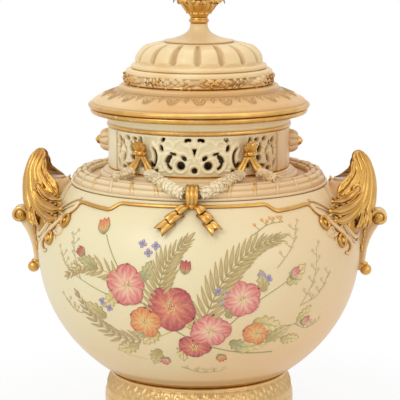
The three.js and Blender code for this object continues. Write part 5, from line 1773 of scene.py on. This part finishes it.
# Handles: a hood of leaf, hollow towards the urn, whose ribs sweep down and forwards into curling lobes
handle = {
    "reach": 129,
    "bottom": 141,
    "wall": 2.6,
    "ribWidth": 7.4,
    "ribRelief": 2.3,
    "volute": 6.6,
    "voluteWidth": 12,
    "ball": 4.3,
    "ballHeight": 108,
}
hoodStations = np.array([  # height, its back, the edge of its mouth, half its width
    (141, 119, 113, 17), (146, 124.4, 110, 24), (152, 127.4, 106.5, 27), (160, 128.6, 103, 26.5),
    (168, 128.9, 101, 24.5), (174, 128.7, 102.5, 21.5), (178, 128.2, 107, 18), (181, 127.6, 110.6, 15.5),
    (184, 126.9, 112.4, 13.2), (189, 125.2, 112.6, 9.8), (193, 123.2, 112.6, 6.8), (196, 120.4, 114.4, 3.6),
    (197.2, 118.4, 116.4, 1),
])
# Ribs from the tip down: (height, degrees round from the hood's back), then width share and lift of the tip
hoodRibs = [
    ([(196, 10), (186, 4), (172, 5), (162, 8), (156, 12), (151.5, 13)], 1, 1.4),
    ([(196, 30), (186, 22), (172, 22), (162, 27), (155, 35), (150.5, 38)], 1, 1.8),
    ([(196, 52), (186, 40), (174, 36), (165, 41), (157, 54), (151, 64)], 1, 2.6),
    ([(195.5, 72), (186, 57), (175, 50), (168, 54), (160, 69), (153, 84)], 1, 2.6),
    ([(195, 88), (186, 74), (178, 66), (172, 68), (166, 80), (161, 90)], 0.95, 1.6),
    ([(190, 90), (184, 88), (179, 84), (174, 84), (169, 89)], 0.7, 0.5),
]
# Lobes that run from the hood out over the bowl: (x, distance in front of the handle's middle, height)
hoodLobes = [
    ([(118.5, 21.5, 176), (114, 24, 169.5), (109.5, 28.5, 166), (103.4, 37.6, 165.2), (97, 48.4, 167)], 6.6, 2.6),
    ([(120, 23.5, 169), (115.5, 27.5, 163), (110, 34.5, 160), (102.6, 45.4, 159.4), (95.6, 55.4, 161.4)], 7.6, 2.8),
    ([(119, 25.5, 163), (115.6, 30, 157.4), (111, 36.5, 154), (104.8, 46.4, 152.8), (98.8, 54.8, 154.4)], 6.2, 2.4),
    ([(124, 7, 158), (125.4, 8.4, 151.5), (124.6, 9.8, 146.4), (122.6, 10.6, 142.4)], 5.2, 2.2),
    ([(121.4, 15.5, 158), (122.4, 18, 151.5), (121, 20.4, 147), (119, 22, 143.8)], 5.2, 2.2),
    ([(118.6, 22.5, 156.5), (119, 26, 151), (117.4, 29, 147.6), (115, 31.4, 145.6)], 4.8, 2),
    ([(113.6, 12, 191), (113.4, 13.4, 184), (111.6, 15.8, 180.2), (108.4, 18.2, 177.6)], 3, 1.2),
]
scrollEye = np.array([114.6, -22.4, 171.6])


# The hood's back, the edge of its mouth and half its width, at a height
def hoodSizes(height, stations=hoodStations):
    return (np.interp(height, stations[:, 0], stations[:, k]) for k in (1, 2, 3))


def hoodPoint(height, turn, lift=0):
    height, turn, lift = np.broadcast_arrays(height, turn, lift)
    back, edge, half = hoodSizes(height)
    turn = np.radians(turn)
    return np.stack([edge + (back - edge + lift) * np.cos(turn), -(half + lift) * np.sin(turn), height], -1)


def hoodNormal(height, turn):
    up = hoodPoint(height + 0.4, turn) - hoodPoint(height - 0.4, turn)
    around = hoodPoint(height, turn + 1) - hoodPoint(height, turn - 1)
    return unit(np.cross(up, around))


def bothHands(shape):
    other = {
        "points": shape["points"] * [1, -1, 1],
        "quads": shape["quads"][:, ::-1],
        "caps": [cap[::-1] for cap in shape["caps"]],
        "marks": shape["marks"],
    }
    return joinShapes([shape, other])


def ribOutline(width, relief, groove=0.22, folds=0):
    turn = np.linspace(pi, 0, 15 + 6 * folds)
    arch = np.sin(turn) ** 0.8 * relief - groove * relief * hump(np.cos(turn) / 0.3)
    if folds:
        arch = np.sin(turn) ** 0.6 * relief * (0.55 + 0.45 * np.abs(np.sin(folds * turn)))
    top = np.stack([np.cos(turn) * width / 2, arch], -1)
    return np.concatenate([top, [[width * 0.3, -1.2], [-width * 0.3, -1.2]]])


def makeHood():
    rows, columns = 90, 61
    lowest, highest = hoodStations[0, 0], hoodStations[-1, 0]
    height = lowest + (highest - lowest) * shares(rows)[:, None] ** 0.85
    smooth = smoothPath(hoodStations, 160)
    back, edge, half = hoodSizes(height, smooth)
    turn = np.radians(np.linspace(-90, 90, columns))[None, :]
    wall = handle["wall"]
    innerX = edge + np.maximum(back - edge - wall, 0.5) * np.cos(turn)
    innerY = np.maximum(half - wall * 0.8, 0.4) * np.sin(turn)
    outer = np.stack([edge + (back - edge) * np.cos(turn), half * np.sin(turn), height + 0 * turn], -1)
    inner = np.stack([innerX, innerY, height + 0 * turn], -1)[:, ::-1]
    isInner = np.repeat([0, 1], columns)
    # painted shade: the outer shell is darkened where it shows between the ribs, the inside a little
    shell = gridShape(
        np.concatenate([outer, inner], 1), {"recess": 0.7 * (1 - isInner) + 0.15 * isInner, "bare": 0.2 * isInner})

    # The hood's floor slopes from its back down to the shoulder
    around = fullTurn(48)[None, :]
    level = np.linspace(146, 178, 24)[:, None]
    backX, edgeX, halfY = hoodSizes(level, smooth)
    floorX = (backX + edgeX) / 2 - 4.4 + ((backX - edgeX) / 2 + 3) * np.cos(around)
    tilt = 2 * (floorX - 112) / 16 * ramp(level, 160, 176)
    floor = np.stack([floorX, (halfY - 2) * np.sin(around), level + tilt], -1)
    return joinShapes([shell, gridShape(floor, {"recess": 0.1, "bare": 0.7})])


# Small leaves along both edges of a lobe: (share of its length, side, length)
frillLeaves = [
    (0.42, 1, 4.6), (0.56, -1, 5), (0.62, 1, 5.4), (0.75, -1, 5.6), (0.8, 1, 5.2), (0.92, -1, 4.6), (0.94, 1, 4.2),
]


def frill(path, out, half):
    along = heading(path)
    origins, axes = [], []
    for share, side, length in frillLeaves:
        k = int(share * (len(path) - 1))
        across = unit(np.cross(along[k], out[k])) * side
        way = unit(along[k] + 0.8 * across - 0.15 * out[k])
        origins.append(path[k] + across * half[k] * 0.45 + out[k] * 0.5)
        axes.append(np.stack([way * length, np.cross(out[k], way) * 3.3, out[k] * 2.6]))
    return stamped(leafShape(8, 7, 0.3, 0.12), origins, np.array(axes))


def makeRibs():
    shapes = []
    share = shares(70)
    for route, width, tip in hoodRibs:
        path = smoothPath(route, 70)
        lift = tip * ramp(share, 0.78, 1)
        line = hoodPoint(path[:, 0], path[:, 1], lift)
        room = np.interp(path[:, 0], hoodStations[:, 0], hoodStations[:, 3]) / 24
        scale = np.clip(room, 0.2, 1) ** 0.8 * width
        scale = scale * (1 - 0.82 * ramp(share, 0.8, 1)) * (0.5 + 0.5 * ramp(share, 0, 0.12))
        outline = ribOutline(handle["ribWidth"], handle["ribRelief"])
        # painted shade in the rib's valleys and its midrib groove
        creaseShade = clamp(1 - outline[:, 1] / handle["ribRelief"] * 1.5) * 0.7
        creaseShade[7] = 0.3
        shapes.append(swept(line, hoodNormal(path[:, 0], path[:, 1]), outline, scale, {"recess": creaseShade}))
    for route, width, relief in hoodLobes:
        path = smoothPath(np.array([(x, -front, height) for x, front, height in route]), 44)
        share = shares(44)
        out = unit(path * [1, 1, 0] - [104, 0, -3])
        curl = path + out * (1.8 * ramp(share, 0.55, 0.95))[:, None]
        scale = (0.45 + 0.55 * ramp(share, 0, 0.45)) * (1 - 0.72 * ramp(share, 0.72, 1))
        outline = ribOutline(width, relief, 0.3, 3 if width > 6 else 2)
        # painted shade in the lobe's folds
        creaseShade = clamp(1 - outline[:, 1] / relief) * 0.9
        shapes.append(swept(curl, out, outline, scale, {"recess": creaseShade}))
        if width > 6:
            shapes.append(frill(curl, out, scale * width / 2))
        shapes.append(moved(ballShape(width * 0.2), *curl[-2] + out[-2] * 0.4))
    spin = np.linspace(0, 480, 70)
    size = np.linspace(0.6, 3.9, 70)
    around = np.radians(100 - spin)
    face = unit(np.array([0.45, -0.9, 0.1]))
    flat = unit(np.cross([0, 0, 1], face))
    line = scrollEye + face * 1.4 + flat * (size * np.cos(around))[:, None]
    line[:, 2] += size * np.sin(around)
    shapes.append(swept(line, face, ribOutline(2.3, 1.5, 0), np.linspace(0.5, 1, 70), {"recess": 0.12}))
    return bothHands(joinShapes(shapes))


# A padded patch laid on the bowl between two lines of height
def cushion(angles, lows, highs, thickness):
    share = shares(16)[:, None]
    height = lows + (highs - lows) * share
    side = clamp(1 - np.abs(np.linspace(-1, 1, len(angles))) ** 8)
    puff = thickness * (clamp(1 - (2 * share - 1) ** 4) * side) ** 0.6
    top, under = onBowl(angles, height, 0.1 + puff), onBowl(angles, height, -0.8)
    # darkened towards brown as painted shade under the leaf
    return gridShape(np.concatenate([top, under[:, ::-1]], 1), {"recess": 0.5})


# The moulding that cups the leaf's lower tips, with a smooth tongue of gilding inside it
cup = {
    "angles": [53.6, 56.6, 60.4, 64, 67, 69, 71.5, 74.4, 77.5, 82, 86, 90],
    "heights": [168.8, 167.8, 164.6, 159.8, 154.6, 147, 141.6, 138.4, 138, 140.4, 143, 144],
    "tongueLift": 5.2,
}


def makeCup():
    half = np.stack([cup["angles"], cup["heights"]], -1)
    route = np.concatenate([half, half[-2::-1] * [-1, 1] + [180, 0]])
    angle, height = smoothPath(route, 150).T
    shapes = []
    for lower, width, relief in ((0, 4.4, 2.8), (-3.9, 2.2, 1.5)):
        outline = halfRound(width, relief)
        # painted shade along both edges of each moulding
        creaseShade = np.where(np.abs(outline[:, 0]) > width * 0.4, 0.75, 0)
        ends = 0.5 + 0.5 * hump((angle - 90) / 40)
        marks = {"recess": creaseShade, "blush": 0.15}
        shapes.append(swept(onBowl(angle, height + lower, 0.3), bowlNormal(angle, height), outline, ends, marks))
    inside = np.linspace(70.5, 109.5, 70)
    low = np.interp(inside, angle, height) + 1.4
    return joinShapes(shapes), cushion(inside, low, 160, cup["tongueLift"])


def makeVolute():
    centreX, centreZ = handle["reach"] + 3.3, handle["bottom"] + handle["volute"]
    turn = np.radians(np.linspace(165, -300, 90))
    size = handle["volute"] * np.concatenate([np.linspace(1, 0.94, 36), np.linspace(0.94, 0.3, 54)]) - 1.2
    path = np.stack([centreX + size * np.cos(turn), np.zeros(90), centreZ + size * np.sin(turn)], -1)
    lead = np.array([[centreX - 8.6, 0, centreZ + 10], [centreX - 7, 0, centreZ + 5.4]])
    path = np.concatenate([smoothPath(np.concatenate([lead, path[:1]]), 10)[:-1], path])
    away = np.stack([path[:, 0] - centreX, np.zeros(len(path)), path[:, 2] - centreZ], -1)
    half = handle["voluteWidth"] / 2
    outline = np.array([
        (-half, -1.3), (-half, 0.9), (-half + 1.2, 1.5), (-half + 2.4, 0.9), (0, 0.7), (half - 2.4, 0.9),
        (half - 1.2, 1.5), (half, 0.9), (half, -1.3),
    ])
    width = np.linspace(1, 0.8, len(path))
    bare = [0, 0.2, 0.5, 0.9, 1, 0.9, 0.5, 0.2, 0]
    rolled = swept(path, away, outline, width, {"bare": bare})
    corners = np.array([[0, -half + 0.7], [5, -half + 0.7], [5, half - 0.7], [0, half - 0.7]])
    # painted shade on the disc behind the eye
    disc, eye = turned(corners, 40, None, {"recess": 0.3}, joined=False), ballShape(2.5, 12, 20)
    disc["points"] = disc["points"][:, [0, 2, 1]]
    eye["points"] = eye["points"][:, [0, 2, 1]] * [1, 2.4, 1]
    return rolled, moved(joinShapes([disc, eye]), centreX, 0, centreZ)


def makeBracketShapes():
    ballX = bowl["radius"] + 4.6
    level = np.linspace(handle["ballHeight"] - 0.5, 152, 80)
    outerX = np.interp(
        level, [107, 110, 116, 124, 131, 137, 142, 147, 153],
        [122.6, 123.4, 123.2, 124.4, 126.6, 129.6, 133, 133, 129])
    innerX = bowlRadiusAt(level) - 2.5
    half = np.interp(level, [107, 114, 124, 136, 152], [2.2, 2.9, 3.4, 3.8, 3.2])
    turn = fullTurn(32)[None, :]
    swell = np.sign(np.cos(turn)) * np.abs(np.cos(turn)) ** 0.6
    channel = hump((np.cos(turn) + 0.1) / 0.42)
    x = (outerX + innerX)[:, None] / 2 + (outerX - innerX)[:, None] / 2 * swell
    y = half[:, None] * np.sign(np.sin(turn)) * np.abs(np.sin(turn)) ** 0.7 * (1 - 0.34 * channel)
    # painted shade in the channel down the bracket's front
    web = gridShape(np.stack([x, y, level[:, None] + 0 * x], -1), {"recess": 0.55 * channel, "blush": 0.35})
    gold = [
        moved(ballShape(handle["ball"], 20, 32), ballX, 0, handle["ballHeight"]),
        moved(ballShape(3.3, 12, 24, 0.45), ballX - 1.6, 0, handle["ballHeight"] + 4.6),
    ]
    husk = ballShape(1, 10, 14, 2.6)
    for side in (-1, 1):
        for low, size in ((136, 1.3), (124.4, 1.2), (130.4, 0.8)):
            middle = np.interp(low, level, (outerX + innerX) / 2)
            gold.append(moved({**husk, "points": husk["points"] * size}, middle, side * 2.6, low))
    return web, joinShapes(gold)


# A thin ridge from the shoulder's lip down to the leaf marks off the plain pad beside each handle
def makePadEdges():
    angle, height = smoothPath([(78, 174), (75, 171), (70.5, 166), (67.4, 161.4), (67, 157.5)], 40).T
    return joinShapes([
        alongBowl(90 + hand * (90 - angle), height, 0, halfRound(1.5, 0.6), 1, {"recess": 0.8})
        for hand in (-1, 1)])


def makeHandles():
    rolled, eye = makeVolute()
    web, gold = makeBracketShapes()
    moulding, tongue = makeCup()
    parts = [
        ("Leaf", joinShapes([makeHood(), makeRibs()]), gilding), ("Volute", rolled, gilding),
        ("Bracket", web, warmBlush), ("GiltParts", joinShapes([gold, eye, tongue]), gilding),
        ("Cup", joinShapes([moulding, makePadEdges()]), warmBlush),
    ]
    for hand, side in handSides.items():
        for name, shape, finish in parts:
            node = f"handle_{hand}" if name == "Leaf" else None
            addPiece(f"handle{name}_{hand}", turnedBack(shape, side), finish, node, weld=False)


makeHandles()
print("handles made")


# Floor, white surroundings and lamps
studio = {
    "floorRadius": 3,
    "floorColour": (0.86, 0.86, 0.85, 1),
    "floorMottle": (0.88, 0.88, 0.87, 1),
    "floorGlow": 0.88,
    "floorRoughness": 0.8,
    "whiteFrom": 0.15,  # metres from the urn's axis at which the floor starts to turn plain white
    "whiteAt": 0.24,
    "worldStrength": 0.64,
    "lamps": [  # name, x, y, z, size, watts
        ("keyLamp", -0.9, -1.3, 1.3, 0.9, 11.5),
        ("fillLamp", 1.3, -1, 0.7, 1, 4),
        ("topLamp", 0.1, 0.4, 1.7, 1.1, 6),
    ],
}


def plainRays(tree):
    path = addNode(tree, "ShaderNodeLightPath", {})
    seen = calculate(tree, "ADD", path["Is Camera Ray"], path["Is Transmission Ray"])
    return calculate(tree, "MINIMUM", calculate(tree, "ADD", seen, path["Is Glossy Ray"]), 1)


def makeStudio():
    work = bmesh.new()
    bmesh.ops.create_circle(work, cap_ends=True, segments=64, radius=studio["floorRadius"])
    mesh = bpy.data.meshes.new("studioFloor")
    work.to_mesh(mesh)
    work.free()
    floor = newObject("studioFloor", mesh)
    floor.location.z = -0.0002
    material, tree, shader = newMaterial("paleFloor")
    place = objectPlace(tree)
    grain = spread(tree, noise(tree, place, 40), 0.3, 0.7)
    feed(tree, shader, {
        "Base Color": mixColour(tree, grain, studio["floorColour"], studio["floorMottle"]),
        "Roughness": studio["floorRoughness"]})
    away = addNode(tree, "ShaderNodeVectorMath", {0: place}, operation="LENGTH")["Value"]
    glow = addNode(tree, "ShaderNodeEmission", {"Strength": 1})[0]
    share = spread(tree, away, studio["whiteFrom"], studio["whiteAt"], studio["floorGlow"], 1)
    share = calculate(tree, "MULTIPLY", plainRays(tree), share)
    both = addNode(tree, "ShaderNodeMixShader", {0: share, 1: shader.outputs[0], 2: glow})[0]
    feed(tree, tree.nodes["Material Output"], {"Surface": both})
    mesh.materials.append(material)

    world = bpy.data.worlds.new("whiteRoom")
    bpy.context.scene.world = world
    world.use_nodes = True
    tree = world.node_tree
    strength = spread(tree, plainRays(tree), 0, 1, studio["worldStrength"], 1)
    feed(tree, tree.nodes["Background"], {"Strength": strength, "Color": (1, 1, 1, 1)})

    for name, x, y, z, size, watts in studio["lamps"]:
        data = bpy.data.lights.new(name, "AREA")
        data.size = size
        data.energy = watts
        setDown(newObject(name, data), (x, y, z), Vector((0, 0, 0.15)) - Vector((x, y, z)))
    bpy.context.scene.view_settings.view_transform = "Standard"


makeStudio()

print("scene ready")
